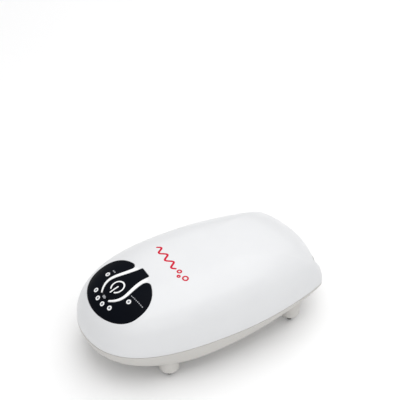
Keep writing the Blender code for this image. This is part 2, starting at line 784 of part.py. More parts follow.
def ellipse(half_x, half_y, steps):
    turns = [2 * math.pi * step / steps for step in range(steps)]
    return [Vector((half_x * math.cos(turn), half_y * math.sin(turn))) for turn in turns]


def control_board():
    board = flat_solid("control_board", ellipse(*BOARD_HALVES, 32), -BOARD_THICKNESS, 0)
    board.matrix_world = press_frame() @ board.matrix_basis
    finish(board, "circuit_board")
    body = box("tact_switch", (-3 * MM, -3 * MM, GAP), (3 * MM, 3 * MM, 3.9 * MM))
    well = rod("plunger_well", (0, 0, 2.6 * MM), (0, 0, 6 * MM), 1.6 * MM + GAP)
    finish(on_board(cut(body, on_board(well))), "grey_plastic")
    plunger = rod("switch_plunger", (0, 0, 3.1 * MM), (0, 0, 4.9 * MM), 1.6 * MM)
    finish(on_board(plunger), "black_rubber")


# ---- Battery ----------------------------------------------------------------------------------
def battery():
    half = CELL_LENGTH / 2
    cradle = box("battery_cradle", (-28 * MM, -54.5 * MM, 16.6 * MM), (28 * MM, -16.5 * MM, 22 * MM))
    for end, y in CELL_PLACES.items():
        profile = [
            (0, half),
            (2.8 * MM, half),
            (2.8 * MM, half - 0.8 * MM),
            (CELL_RADIUS - 0.6 * MM, half - 0.8 * MM),
            (CELL_RADIUS, half - 1.4 * MM),
            (CELL_RADIUS, 0.6 * MM - half),
            (CELL_RADIUS - 0.6 * MM, -half),
            (0, -half),
        ]
        axis = (1, 0, 0) if end == "front" else (-1, 0, 0)
        cell = turned(f"battery_cell_{end}", profile, place=(0, y, CELL_Z), axis=axis, segments=24)
        finish(cell, "cell_wrap")
        seat_end = Vector((CELL_LENGTH, y, CELL_Z))
        seat_start = Vector((-CELL_LENGTH, y, CELL_Z))
        cut(cradle, rod(f"cell_seat_{end}", seat_start, seat_end, CELL_RADIUS + GAP, segments=24))
    finish(cradle, "grey_plastic")
    for side, hand in ((-1, "left"), (1, "right")):
        low = half + GAP
        height = (CELL_Z - 3 * MM, CELL_Z + 3 * MM)
        strip = side_box(f"battery_strip_{hand}", side, (low, low + STRIP_THICKNESS), STRIP_Y, height)
        finish(strip, "nickel")


# ---- Charging socket --------------------------------------------------------------------------
def charging():
    board = box("charge_board", (-8 * MM, 51 * MM, 31 * MM), (8 * MM, 59.4 * MM, 32.2 * MM))
    finish(board, "circuit_board")
    socket = box("charge_socket", (-3.75 * MM, 55.8 * MM, 32.5 * MM), (3.75 * MM, 61.5 * MM, 35.2 * MM))
    soften(socket, 0.2 * MM)
    mouth = box("socket_mouth", (-3.3 * MM, 56.8 * MM, 32.95 * MM), (3.3 * MM, 63 * MM, 34.75 * MM))
    tongue = box("socket_tongue", (-1.8 * MM, 56.3 * MM, 33.9 * MM), (1.8 * MM, 60.8 * MM, 34.4 * MM))
    finish(join(cut(socket, mouth), tongue), "steel")


# ---- Pump unit --------------------------------------------------------------------------------
def pump_chassis():
    chassis = side_box("pump_chassis", 1, (-CHASSIS_HALF_WIDTH, CHASSIS_HALF_WIDTH), CHASSIS_Y, CHASSIS_Z)
    sunk = CHASSIS_Z[0] + 1 * MM
    rib = box("core_rib", (-16 * MM, -11.5 * MM, sunk), (16 * MM, -8.2 * MM, CORE_Z[0] - GAP))
    upright = box("hinge_upright", (-14.5 * MM, 47.8 * MM, sunk), (14.5 * MM, 49.9 * MM, 41 * MM))
    bridge = box("hinge_bridge", (-14.5 * MM, 40.5 * MM, 39.3 * MM), (14.5 * MM, 48.5 * MM, 41.5 * MM))
    join(chassis, rib, upright, bridge)
    for side in (-1, 1):
        x = HINGE_X * side
        join(chassis, rod(f"hinge_boss_{side}", (x, HINGE_Y, sunk), (x, HINGE_Y, 29.4 * MM), EYE_RADIUS))
    window = box("coil_window", (-12.5 * MM, -7.2 * MM, 20 * MM), (12.5 * MM, 12.2 * MM, 26 * MM))
    cut(chassis, window)
    for side in (-1, 1):
        x = HINGE_X * side
        low = (x, HINGE_Y, PIN_Z[0] - GAP)
        cut(chassis, rod(f"pin_hole_{side}", low, (x, HINGE_Y, 45 * MM), PIN_RADIUS + PIN_CLEARANCE))
    finish(chassis, "grey_plastic")
    for end, (x, y) in MOUNT_PLACES.items():
        for side, hand in ((-1, "left"), (1, "right")):
            low = (x * side, y, MOUNT_Z[0])
            high = (x * side, y, MOUNT_Z[1])
            finish(rod(f"rubber_mount_{end}_{hand}", low, high, MOUNT_RADIUS), "black_rubber")


def electromagnet():
    leg = 3.5 * MM
    outer = (11.5 * MM, 17 * MM)
    back = (-12 * MM, -7 * MM)
    right = [
        (leg, LEG_FACE_Y),
        (leg, back[1]),
        (outer[0], back[1]),
        (outer[0], LEG_FACE_Y),
        (outer[1], LEG_FACE_Y),
        (outer[1], back[0]),
    ]
    left = [(-x, y) for x, y in reversed(right)]
    finish(flat_solid("core_stack", left + right, *CORE_Z), "core_steel")

    def sleeve(name, half_x, grow_z, y):
        low, high = CORE_Z[0] - grow_z, CORE_Z[1] + grow_z
        return box(name, (-half_x, y[0], low), (half_x, y[1], high))

    bobbin = sleeve("coil_bobbin", leg + 1.3 * MM, 1.3 * MM, (-6.7 * MM, 11.7 * MM))
    join(bobbin, sleeve("bobbin_flange_rear", 11.2 * MM, 6 * MM, (10.5 * MM, 11.7 * MM)))
    join(bobbin, sleeve("bobbin_flange_front", 11.2 * MM, 6 * MM, (-6.7 * MM, -5.5 * MM)))
    cut(bobbin, sleeve("bobbin_bore", leg + GAP, GAP, (-9 * MM, 14 * MM)))
    finish(bobbin, "frosted_plastic")
    winding = soften(sleeve("coil_winding", 10.9 * MM, 5.6 * MM, (-5.2 * MM, 10.2 * MM)), 2 * MM, 3)
    cut(winding, sleeve("winding_bore", leg + 1.6 * MM, 1.6 * MM, (-8 * MM, 13 * MM)))
    finish(winding, "copper")


def swing_arm(side, hand):
    """A magnet arm that swings on an upright pin and works one diaphragm."""
    pivot = Vector((HINGE_X * side, HINGE_Y, 0))
    across = Vector((side, 0, 0))
    middle = Vector((0, DIAPHRAGM_Y, AIR_Z))
    arm = side_box(f"swing_arm_{hand}", side, (10 * MM, 13 * MM), (PADDLE_Y[0], HINGE_Y), ARM_Z)
    paddle = side_box(f"paddle_{hand}", side, (MAGNET_X[0], 12.5 * MM), PADDLE_Y, ARM_Z)
    eye_low = Vector((pivot.x, HINGE_Y, ARM_Z[0] - 0.2 * MM))
    eye_high = Vector((pivot.x, HINGE_Y, ARM_Z[1] + 0.2 * MM))
    eye = rod(f"eye_{hand}", eye_low, eye_high, EYE_RADIUS)
    stud = rod(f"stud_{hand}", middle + across * 12 * MM, middle + across * 15.9 * MM, STUD_RADIUS)
    join(arm, paddle, eye, stud)
    over = Vector((0, 0, 5 * MM))
    cut(arm, rod(f"eye_bore_{hand}", eye_low - over, eye_high + over, PIN_RADIUS + PIN_CLEARANCE))
    magnet = side_box(f"arm_magnet_{hand}", side, MAGNET_X, MAGNET_Y, MAGNET_Z)
    disc_start = middle + across * DISC_X[0]
    disc = rod(f"diaphragm_disc_{hand}", disc_start, middle + across * DISC_X[1], DISC_RADIUS)
    for piece in (arm, magnet, disc):
        piece.data.transform(Matrix.Translation(-pivot))
        piece.location = pivot
    finish(arm, "grey_plastic")
    finish(soften(magnet, 0.4 * MM), "magnet")
    finish(disc, "steel")
    pin_low = (pivot.x, HINGE_Y, PIN_Z[0])
    pin_high = (pivot.x, HINGE_Y, PIN_Z[1])
    finish(rod(f"hinge_pin_{hand}", pin_low, pin_high, PIN_RADIUS), "steel")


def diaphragm(side, hand):
    profile = [
        (0, 18.7),
        (4.3, 18.7),
        (5.9, 19.9),
        (7.4, 19.9),
        (7.4, 20.7),
        (8.4, 20.7),
        (8.4, 18.7),
        (6.2, 18.7),
        (4.6, 17.5),
        (0, 17.5),
    ]
    points = [(radius * MM, height * MM) for radius, height in profile]
    rubber = turned(f"diaphragm_{hand}", points, place=(0, DIAPHRAGM_Y, AIR_Z), axis=(side, 0, 0))
    finish(rubber, "black_rubber")


def valve_chamber(side, hand):
    y = DIAPHRAGM_Y
    walls = (y - CHAMBER_HALF, y + CHAMBER_HALF)
    port = PORT_X * side
    chamber = side_box(f"valve_chamber_{hand}", side, CHAMBER_X, walls, CHAMBER_Z)
    nipple_root = (port, walls[1] - 0.5 * MM, AIR_Z)
    join(chamber, rod(f"nipple_{hand}", nipple_root, (port, NIPPLE_TIP_Y, AIR_Z), *NIPPLE_RADII))
    swept = rod(f"swept_{hand}", (20 * MM * side, y, AIR_Z), (24 * MM * side, y, AIR_Z), SWEPT_RADIUS)
    intake = side_box(f"intake_room_{hand}", side, ROOM_X, (y - 7 * MM, y - 0.6 * MM), ROOM_Z)
    outlet = side_box(f"outlet_room_{hand}", side, ROOM_X, (y + 0.6 * MM, y + 7 * MM), ROOM_Z)
    cut(chamber, swept, intake, outlet)
    for name, shift in (("intake", -3 * MM), ("outlet", 3 * MM)):
        hole_start = (23 * MM * side, y + shift, AIR_Z)
        hole_end = (27 * MM * side, y + shift, AIR_Z)
        cut(chamber, rod(f"{name}_hole_{hand}", hole_start, hole_end, VALVE_HOLE_RADIUS))
    bore = rod(f"port_bore_{hand}", (port, y + 5 * MM, AIR_Z), (port, 46 * MM, AIR_Z), AIR_BORE_RADIUS)
    vent = rod(f"vent_{hand}", (port, y - 4 * MM, 38 * MM), (port, y - 4 * MM, 45 * MM), VENT_RADIUS)
    cut(chamber, bore, vent)
    finish(chamber, "frosted_plastic")
    cover_x = (CHAMBER_X[1] + GAP, CHAMBER_X[1] + 2.3 * MM)
    cover = side_box(f"chamber_cover_{hand}", side, cover_x, walls, CHAMBER_Z)
    finish(soften(cover, 0.5 * MM), "grey_plastic")
    intake_y = (y - 5.3 * MM, y - 0.7 * MM)
    outlet_y = (y + 0.9 * MM, y + 5.1 * MM)
    finish(side_box(f"intake_flap_{hand}", side, (23.2 * MM, 23.7 * MM), intake_y, FLAP_Z), "grey_rubber")
    finish(side_box(f"outlet_flap_{hand}", side, (26.3 * MM, 26.8 * MM), outlet_y, FLAP_Z), "grey_rubber")


def air_line(side, hand):
    """Silicone tube from the valve chamber to the outlet nozzle, and the nozzle itself."""
    start_y, end_y = TUBE_Y
    points = []
    for step in range(13):
        y = start_y + (end_y - start_y) * step / 12
        share = min(max((y - 44 * MM) / (8 * MM), 0), 1)
        ease = share * share * (3 - 2 * share)
        points.append(((PORT_X + (NOZZLE_X - PORT_X) * ease) * side, y, AIR_Z))
    first, last = points[0], points[-1]
    longer = [(first[0], first[1] - 2 * MM, AIR_Z)] + points + [(last[0], last[1] + 2 * MM, AIR_Z)]
    tube = wire(f"air_tube_{hand}", points, TUBE_RADII[0])
    cut(tube, wire(f"tube_bore_{hand}", longer, TUBE_RADII[1]))
    finish(tube, "clear_tube")

    tip = NOZZLE_TIP_Y
    profile = [
        (AIR_BORE_RADIUS, tip),
        (2.0 * MM, tip),
        (2.9 * MM, tip - 2.4 * MM),
        (2.3 * MM, tip - 2.6 * MM),
        (NOZZLE_RADIUS, tip - 5 * MM),
        (NOZZLE_RADIUS, 59.7 * MM),
        (4.5 * MM, 59.7 * MM),
        (4.5 * MM, 58.4 * MM),
        (2.3 * MM, 58.2 * MM),
        (2.3 * MM, 53.5 * MM),
        (AIR_BORE_RADIUS, 53.5 * MM),
        (AIR_BORE_RADIUS, tip),
    ]
    nozzle = turned(f"outlet_nozzle_{hand}", profile, place=(NOZZLE_X * side, 0, AIR_Z), axis=(0, 1, 0))
    finish(nozzle, "frosted_plastic")


# ---- Assembly ---------------------------------------------------------------------------------
upper_shell()
lower_shell()
feet_and_screws()
intake_filter()
control_panel()
power_button()
control_board()
battery()
charging()
pump_chassis()
electromagnet()
for sign, word in ((-1, "left"), (1, "right")):
    swing_arm(sign, word)
    diaphragm(sign, word)
    valve_chamber(sign, word)
    air_line(sign, word)
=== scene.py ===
"""The air pump's looks: a fine white case, its printed control panel, its fittings and their materials."""

import json
from math import atan2, copysign, cos, pi, radians, sin, sqrt

import bmesh
import bpy
import numpy as np
from mathutils import Matrix, Vector
from mathutils.geometry import delaunay_2d_cdt


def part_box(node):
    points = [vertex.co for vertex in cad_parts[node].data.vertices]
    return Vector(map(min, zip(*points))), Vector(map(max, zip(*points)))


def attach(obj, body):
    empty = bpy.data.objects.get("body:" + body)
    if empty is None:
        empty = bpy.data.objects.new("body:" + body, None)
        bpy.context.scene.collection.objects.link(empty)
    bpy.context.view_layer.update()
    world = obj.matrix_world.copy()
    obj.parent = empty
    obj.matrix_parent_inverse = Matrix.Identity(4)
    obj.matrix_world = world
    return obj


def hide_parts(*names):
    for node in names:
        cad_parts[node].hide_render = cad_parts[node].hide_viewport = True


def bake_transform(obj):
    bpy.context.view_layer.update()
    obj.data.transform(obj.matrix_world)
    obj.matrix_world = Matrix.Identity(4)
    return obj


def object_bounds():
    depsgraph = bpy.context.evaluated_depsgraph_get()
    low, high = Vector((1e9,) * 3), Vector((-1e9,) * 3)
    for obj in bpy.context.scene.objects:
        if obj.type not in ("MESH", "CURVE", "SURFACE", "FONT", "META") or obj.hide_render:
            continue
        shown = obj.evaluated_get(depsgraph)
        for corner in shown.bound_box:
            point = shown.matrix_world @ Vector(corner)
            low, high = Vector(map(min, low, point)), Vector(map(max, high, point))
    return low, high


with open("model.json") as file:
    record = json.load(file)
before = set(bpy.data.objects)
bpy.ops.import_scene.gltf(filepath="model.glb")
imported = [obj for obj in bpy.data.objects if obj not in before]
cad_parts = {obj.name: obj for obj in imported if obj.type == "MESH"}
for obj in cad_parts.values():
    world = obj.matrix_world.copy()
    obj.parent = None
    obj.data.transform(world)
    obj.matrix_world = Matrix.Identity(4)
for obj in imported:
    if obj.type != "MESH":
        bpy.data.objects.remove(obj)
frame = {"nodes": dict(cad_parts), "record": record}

MM = 0.001


def flat(x, y):
    """A plan point, given in millimetres."""
    return Vector((x, y)) * MM


def mm(*sizes):
    """Sizes given in millimetres."""
    return tuple(size * MM for size in sizes)


# ---- Dimensions read from the frame ----
CAD_LOW, CAD_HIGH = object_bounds()
HALF_LENGTH = CAD_HIGH.y
HALF_WIDTH = CAD_HIGH.x
HEIGHT = CAD_HIGH.z
SHELL_EDGE_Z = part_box("upper_shell")[0].z
TRAY_EDGE_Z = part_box("lower_shell")[1].z
GAP = SHELL_EDGE_Z - TRAY_EDGE_Z
SEAM_Z = (SHELL_EDGE_Z + TRAY_EDGE_Z) / 2
WALL = 2.2 * MM

# ---- The case's form: plan outline, dome and rolled underside ----
WIDEST_Y = 2 * MM
NOSE_PULLS = (0.82, 0.57)
SIDE_PULL = 0.49
REAR_PULL = 0.42
CORNER = np.array((32.7, 71.4)) * MM
CORNER_TURN = radians(30)
CORNER_REACH = mm(4.2, 4.7)
OUTLINE_STEPS = (40, 30, 18)
CROWN = np.array((0, -19)) * MM
DOME_POWERS = (2.6, 3.2, 3.8)
DOME_ROUND = 2.2
ROLL_UNDER = mm(21, 2.5, 21)
BELLY_Z, BELLY_RISE = mm(15.2, 4.5)
DOME_LEVELS = 44
TRAY_LEVELS = 18
INNER_LEVELS = 16

# ---- Sizes of the panel, its key and its ridges ----
PANEL_Y = -55.5 * MM
PANEL_HALF_WIDTH = 25 * MM
PANEL_REACHES = mm(17.3, 17.5)
PANEL_FRONT_POWER = 2.0
PANEL_REAR_POWER = 2.4
PANEL_PROUD, PANEL_SINK = mm(0.25, 0.6)
LENS_RADIUS = 1.55 * MM
LOBE_ROUND = 5 * MM
LOBE_PULL = 0.6
RIDGE_TIP = flat(4.7, -64.1)
RIDGE_BULGE = flat(9.3, -56.3)
RIDGE_END = flat(5.9, -36.0)
RIDGE_HALF_WIDTHS = mm(0.5, 0.95, 1.4)
# Where along Y the ridges' painted highlight fades to the shell's own white.
RIDGE_HIGHLIGHT_FADE = mm(-42, -36.5)
KEY_ENDS = mm(-64.6, -36.6)
KEY_END_SPAN, KEY_CORNER = mm(1.2, 0.9)
CAP_STEPS = 7
RIM_STEPS = 80
LOBE_STEPS = 16
LENS_NODES = [*(f"charge_lens_{place}" for place in range(1, 5)), "power_lens", "pump_lens"]

HANDS = ("left", "right")
CORNERS = [f"{end}_{hand}" for end in ("front", "rear") for hand in HANDS]
SCREW_NODES = [f"case_screw_{corner}" for corner in CORNERS]
PAD_NODES = [f"foot_pad_{corner}" for corner in CORNERS]


def middle(node):
    low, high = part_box(node)
    return (low + high) / 2


def spoke(turn, reach):
    """A plan vector of a given reach, turned from the X axis."""
    return Vector((cos(turn), sin(turn))) * reach


# ---- Mesh helpers ----
def mesh_object(name, points, faces, sharp=35):
    """A smooth-shaded object with its faces pointing out."""
    mesh = bpy.data.meshes.new(name)
    mesh.from_pydata([tuple(point) for point in points], [], faces)
    shape = bmesh.new()
    shape.from_mesh(mesh)
    bmesh.ops.recalc_face_normals(shape, faces=shape.faces)
    shape.to_mesh(mesh)
    shape.free()
    return shown(name, smoothed(mesh, sharp))


def shown(name, data):
    """An object in the scene for a mesh, a light or a camera."""
    item = bpy.data.objects.new(name, data)
    bpy.context.scene.collection.objects.link(item)
    return item


def smoothed(mesh, sharp=35):
    mesh.shade_smooth()
    mesh.set_sharp_from_angle(angle=radians(sharp))
    return mesh


def band(upper, lower):
    """Faces between two rings of point numbers."""
    return list(zip(upper, lower, lower[1:] + lower[:1], upper[1:] + upper[:1]))


def lofted(name, rings, sharp=35):
    """A closed solid through rings of equally many points, ended by a point at each end."""
    count = len(rings[1])
    points = [rings[0], *(point for ring in rings[1:-1] for point in ring), rings[-1]]
    last = len(points) - 1
    levels = [list(range(start, start + count)) for start in range(1, last, count)]
    faces = [(0, *face[1:3]) for face in band(levels[0], levels[0])]
    faces += [(last, face[2], face[1]) for face in band(levels[-1], levels[-1])]
    for upper, lower in zip(levels, levels[1:]):
        faces += band(upper, lower)
    return mesh_object(name, points, faces, sharp)


def facing(axis):
    """The turn that takes Z to an axis."""
    return Vector((0, 0, 1)).rotation_difference(Vector(axis)).to_matrix()


def turned(name, profile, place=(0, 0, 0), axis=(0, 0, 1), segments=64, sharp=35):
    """A solid turned about an axis from (radius, height) pairs that start and end on the axis."""
    turn = facing(axis)
    place = Vector(place)
    rings = [place + turn @ Vector((0, 0, profile[0][1]))]
    for radius, height in profile[1:-1]:
        around = [spoke(2 * pi * step / segments, radius) for step in range(segments)]
        rings.append([place + turn @ Vector((*point, height)) for point in around])
    rings.append(place + turn @ Vector((0, 0, profile[-1][1])))
    return lofted(name, rings, sharp)


def ring_faces(count, segments):
    """Faces round a ring whose closed section of count points is repeated segments times."""
    levels = [list(range(step * count, (step + 1) * count)) for step in range(segments)]
    faces = []
    for here, there in zip(levels, levels[1:] + levels[:1]):
        faces += band(here, there)
    return faces


def sleeve(name, profile, place, axis, segments):
    """A ring turned about an axis from a closed profile of (radius, height) pairs."""
    turn = facing(axis)
    place = Vector(place)
    points = []
    for step in range(segments):
        for radius, height in profile:
            around = spoke(2 * pi * step / segments, radius)
            points.append(place + turn @ Vector((*around, height)))
    return mesh_object(name, points, ring_faces(len(profile), segments))


def rod(name, start, end, radius, segments=32):
    start, end = Vector(start), Vector(end)
    length = (end - start).length
    profile = [(0, length), (radius, length), (radius, 0), (0, 0)]
    return turned(name, profile, place=start, axis=end - start, segments=segments)


def arc(centre, radii, start, end, steps):
    """Points of an elliptic arc in a (radius, height) profile, angles in degrees."""
    points = []
    for step in range(steps + 1):
        angle = radians(start + (end - start) * step / steps)
        points.append((centre[0] + radii[0] * cos(angle), centre[1] + radii[1] * sin(angle)))
    return points


def meshed(name, shape):
    """Turn a bmesh into a mesh and free it."""
    mesh = bpy.data.meshes.new(name)
    shape.to_mesh(mesh)
    shape.free()
    return mesh


def box(name, low, high, bevel=0.0, segments=4):
    low, high = Vector(low), Vector(high)
    place = Matrix.Translation((low + high) / 2) @ Matrix.Diagonal((*(high - low), 1))
    shape = bmesh.new()
    bmesh.ops.create_cube(shape, size=1, matrix=place)
    if bevel:
        edges = shape.edges[:]
        bmesh.ops.bevel(shape, geom=edges, offset=bevel, segments=segments, profile=0.5, affect="EDGES")
    return shown(name, smoothed(meshed(name, shape)))


def combine(target, tool, operation):
    """Join, cut or keep the overlap, and leave the target with the resulting mesh."""
    step = target.modifiers.new(operation.lower(), "BOOLEAN")
    step.operation = operation
    step.object = tool
    step.solver = "EXACT"
    evaluated = target.evaluated_get(bpy.context.evaluated_depsgraph_get())
    mesh = bpy.data.meshes.new_from_object(evaluated)
    target.modifiers.clear()
    old = target.data
    target.data = smoothed(mesh)
    bpy.data.meshes.remove(old)
    return target


def cut(target, *tools):
    for tool in tools:
        combine(target, tool, "DIFFERENCE")
        bpy.data.objects.remove(tool)
    return target


def join(target, *tools):
    for tool in tools:
        combine(target, tool, "UNION")
        bpy.data.objects.remove(tool)
    return target


def within(target, tool):
    return combine(target, tool, "INTERSECT")


def dress(piece, slot, *looks, body="case", replaces=()):
    """Give a finished piece its body and materials, the slot's own unless looks are given, and hide the CAD
    nodes it replaces.
    """
    piece.data.materials.clear()
    for look in looks or (LOOKS[slot],):
        piece.data.materials.append(look)
    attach(piece, body)
    if replaces:
        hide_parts(*replaces)


# ---- Case surface ----
def cubic(start, pull_out, pull_in, end, steps):
    """Points of a cubic curve, without its last one."""
    points = []
    for step in range(steps):
        t = step / steps
        u = 1 - t
        points.append(start * u**3 + pull_out * 3 * t * u**2 + pull_in * 3 * t**2 * u + end * t**3)
    return points


def case_outline():
    """The case's plan outline, counter-clockwise from the nose."""
    nose = np.array((0, -HALF_LENGTH))
    widest = np.array((HALF_WIDTH, WIDEST_Y))
    rear = np.array((0, HALF_LENGTH))
    turn = np.array((-sin(CORNER_TURN), cos(CORNER_TURN)))
    nose_front = np.array((NOSE_PULLS[0] * HALF_WIDTH, -HALF_LENGTH))
    nose_side = np.array((HALF_WIDTH, WIDEST_Y - NOSE_PULLS[1] * (WIDEST_Y + HALF_LENGTH)))
    side = np.array((HALF_WIDTH, WIDEST_Y + SIDE_PULL * (CORNER[1] - WIDEST_Y)))
    rear_pull = np.array((REAR_PULL * CORNER[0], HALF_LENGTH))
    right = cubic(nose, nose_front, nose_side, widest, OUTLINE_STEPS[0])
    right += cubic(widest, side, CORNER - turn * CORNER_REACH[0], CORNER, OUTLINE_STEPS[1])
    right += cubic(CORNER, CORNER + turn * CORNER_REACH[1], rear_pull, rear, OUTLINE_STEPS[2])
    right.append(rear)
    left = [point * (-1, 1) for point in right[-2:0:-1]]
    return np.array(right + left)


def grown(loop, distance):
    """A counter-clockwise loop with every point moved outwards."""
    along = np.roll(loop, -1, axis=0) - np.roll(loop, 1, axis=0)
    along /= np.linalg.norm(along, axis=1)[:, None]
    return loop + np.stack([along[:, 1], -along[:, 0]], axis=1) * distance


OUTLINE = case_outline()


def towards(points):
    """-1 where a plan point lies towards the nose, 0 beside the crown and 1 towards the rear."""
    ahead = points[:, 1] - CROWN[1]
    reach = np.where(ahead > 0, HALF_LENGTH - CROWN[1], HALF_LENGTH + CROWN[1])
    return np.arctan2(ahead / reach, np.abs(points[:, 0]) / HALF_WIDTH) / (pi / 2)


def vary(values, where):
    """Blend smoothly between the values for nose, side and rear."""
    nose, side, rear = values
    share = np.abs(where) ** 2 * (3 - 2 * np.abs(where))
    return side + (np.where(where > 0, rear, nose) - side) * share


def belly_height(y):
    return BELLY_Z + BELLY_RISE * y / HALF_LENGTH


def dome_ring(climb, inset=0.0):
    """Points of the dome at one angle of climb, from the seam at 0 to the crown at 90 degrees."""
    outline = grown(OUTLINE, -inset)
    draw_in = cos(climb) ** (2 / vary(DOME_POWERS, towards(outline)))
    plan = CROWN + (outline - CROWN) * draw_in[:, None]
    height = SEAM_Z + (HEIGHT - inset - SEAM_Z) * sin(climb) ** (2 / DOME_ROUND)
    return np.column_stack([plan, np.full(len(plan), height)])


def roll_ring(roll, inset=0.0):
    """Points of the tray's rolled side, from the seam at 0 to the flat belly at 90 degrees."""
    outline = grown(OUTLINE, -inset)
    arm = outline - CROWN
    arm /= np.linalg.norm(arm, axis=1)[:, None]
    under = vary(ROLL_UNDER, towards(outline)) * (1 - cos(roll))
    plan = outline - arm * under[:, None]
    depth = SEAM_Z - belly_height(plan[:, 1]) - inset
    return np.column_stack([plan, SEAM_Z - depth * sin(roll)])


def flat_ring(inset, height):
    outline = grown(OUTLINE, -inset)
    return np.column_stack([outline, np.full(len(outline), height)])


def dome_rings(inset, levels, lowest=0.0):
    """Dome rings from the crown down, closer together at the crown."""
    climbs = [pi / 2 * share for share in (0.9995, 0.996, 0.988)]
    climbs += [pi / 2 * level / levels for level in range(levels - 1, 0, -1)]
    rings = [dome_ring(climb, inset) for climb in climbs]
    return [ring for ring in rings if ring[0][2] > lowest]


def hull(name, inset):
    """The closed solid inside the case surface, moved in by inset."""
    rings = [(*CROWN, HEIGHT - inset)]
    rings += dome_rings(inset, INNER_LEVELS * 2)
    rings += [roll_ring(pi / 2 * level / INNER_LEVELS, inset) for level in range(INNER_LEVELS + 1)]
    rings.append((*CROWN, belly_height(CROWN[1]) + inset))
    return lofted(name, rings)


POLAR = OUTLINE - CROWN
ANGLES = np.unwrap(np.arctan2(POLAR[:, 1], POLAR[:, 0]))
REACHES = np.linalg.norm(POLAR, axis=1)
POWERS = vary(DOME_POWERS, towards(OUTLINE))


def dome_height(plan):
    """Height of the dome over each plan point."""
    arm = np.asarray(plan, float) - CROWN
    angle = (np.arctan2(arm[:, 1], arm[:, 0]) - ANGLES[0]) % (2 * pi) + ANGLES[0]
    reach = np.interp(angle, ANGLES, REACHES, period=2 * pi)
    power = np.interp(angle, ANGLES, POWERS, period=2 * pi)
    share = np.clip(np.linalg.norm(arm, axis=1) / reach, 0, 1)
    return SEAM_Z + (HEIGHT - SEAM_Z) * (1 - share**power) ** (1 / DOME_ROUND)


def dome_frame(x, y):
    """The dome's point and normal over a plan point."""
    step = 0.4 * MM
    around = np.array([(x, y), (x + step, y), (x - step, y), (x, y + step), (x, y - step)])
    height, right, left, rear, front = dome_height(around)
    normal = Vector((left - right, front - rear, 2 * step)).normalized()
    return Vector((x, y, height)), normal


# ---- Inlays: thin solids that follow the dome ----
def inside(points, loop):
    """Whether each point is inside a loop, by counting crossings."""
    found = np.zeros(len(points), bool)
    for first, second in zip(loop, np.roll(loop, -1, axis=0)):
        spans = (first[1] > points[:, 1]) != (second[1] > points[:, 1])
        if spans.any():
            slope = (second[0] - first[0]) / (second[1] - first[1])
            found ^= spans & (points[:, 0] < first[0] + slope * (points[:, 1] - first[1]))
    return found


def turning(loop):
    """The loop's signed area: positive where it runs counter-clockwise."""
    after = np.roll(loop, -1, axis=0)
    return (loop[:, 0] * after[:, 1] - loop[:, 1] * after[:, 0]).sum() / 2


def filled(loop, pitch):
    """The loop's points with a grid of points inside it, and the triangles between them."""
    low, high = loop.min(axis=0), loop.max(axis=0)
    across = np.arange(low[0] + pitch / 2, high[0], pitch)
    ahead = np.arange(low[1] + pitch / 2, high[1], pitch)
    grid = np.array([(x, y) for x in across for y in ahead]).reshape(-1, 2)
    grid = grid[inside(grid, loop)]
    clear = np.linalg.norm(grid[:, None, :] - loop[None, :, :], axis=2).min(axis=1)
    grid = grid[clear > pitch * 0.6]
    points = np.vstack([loop, grid])
    scaled = [Vector(point) for point in points / MM]
    result = delaunay_2d_cdt(scaled, [], [list(range(len(loop)))], 1, 1e-6)
    origins = result[3]
    faces = [tuple(origins[index][0] for index in face) for face in result[2]]
    return points, faces


def inlay(name, loop, lift, depth, edge, pitch=1.0 * MM, steps=3):
    """A solid over a plan loop, its top lift above the dome with a rounded edge, its bottom depth below."""
    loop = np.array([tuple(point) for point in loop])
    if turning(loop) < 0:
        loop = loop[::-1]
    plan, top = filled(grown(loop, -edge), pitch)
    layers = [(plan, lift)]
    for step in range(1, steps + 1):
        turn = pi / 2 * step / steps
        layers.append((grown(loop, -edge * (1 - sin(turn))), lift - edge * (1 - cos(turn))))
    layers += [(loop, -depth), (plan, -depth)]
    points = []
    rims = []
    for layer, rise in layers:
        rims.append(list(range(len(points), len(points) + len(loop))))
        points.extend(np.column_stack([layer, dome_height(layer) + rise]))
    faces = top + [tuple(rims[-1][0] + index for index in reversed(face)) for face in top]
    for upper, lower in zip(rims, rims[1:]):
        faces += band(upper, lower)
    return mesh_object(name, points, faces, sharp=50)


def beside(line, distances):
    """A line's points, each moved to the right of the line by its own distance."""
    moved = []
    for index, (point, distance) in enumerate(zip(line, distances)):
        before = line[max(index - 1, 0)]
        after = line[min(index + 1, len(line) - 1)]
        along = (after - before).normalized()
        moved.append(point + Vector((along.y, -along.x)) * distance)
    return moved


def stroke(points, half_width, cap_steps=6):
    """The outline of a line drawn with a round pen."""
    right = beside(points, [half_width] * len(points))
    left = beside(points, [-half_width] * len(points))
    end_cap = round_cap(points[-2], points[-1], half_width, cap_steps)
    start_cap = round_cap(points[1], points[0], half_width, cap_steps)
    return right + end_cap + left[::-1] + start_cap


def round_cap(before, end, radius, steps):
    """Points round the end of a stroke, from its right side to its left."""
    heading = atan2(end.y - before.y, end.x - before.x)
    cap = []
    for step in range(1, steps):
        turn = heading - pi / 2 + pi * step / steps
        cap.append(end + spoke(turn, radius))
    return cap


def ring_inlay(name, centre, outer, inner, lift, depth, segments=40):
    """A flat ring that follows the dome."""
    section = ((inner, -depth), (inner, lift), (outer, lift), (outer, -depth))
    points = []
    for step in range(segments):
        for radius, rise in section:
            x, y = centre + spoke(2 * pi * step / segments, radius)
            points.append((x, y, dome_height([(x, y)])[0] + rise))
    return mesh_object(name, points, ring_faces(len(section), segments), 50)


# ---- Panel outlines ----
def panel_half(behind):
    """Reach and curve power of the panel's rear half, or of its front half."""
    return (PANEL_REACHES[1], PANEL_REAR_POWER) if behind else (PANEL_REACHES[0], PANEL_FRONT_POWER)


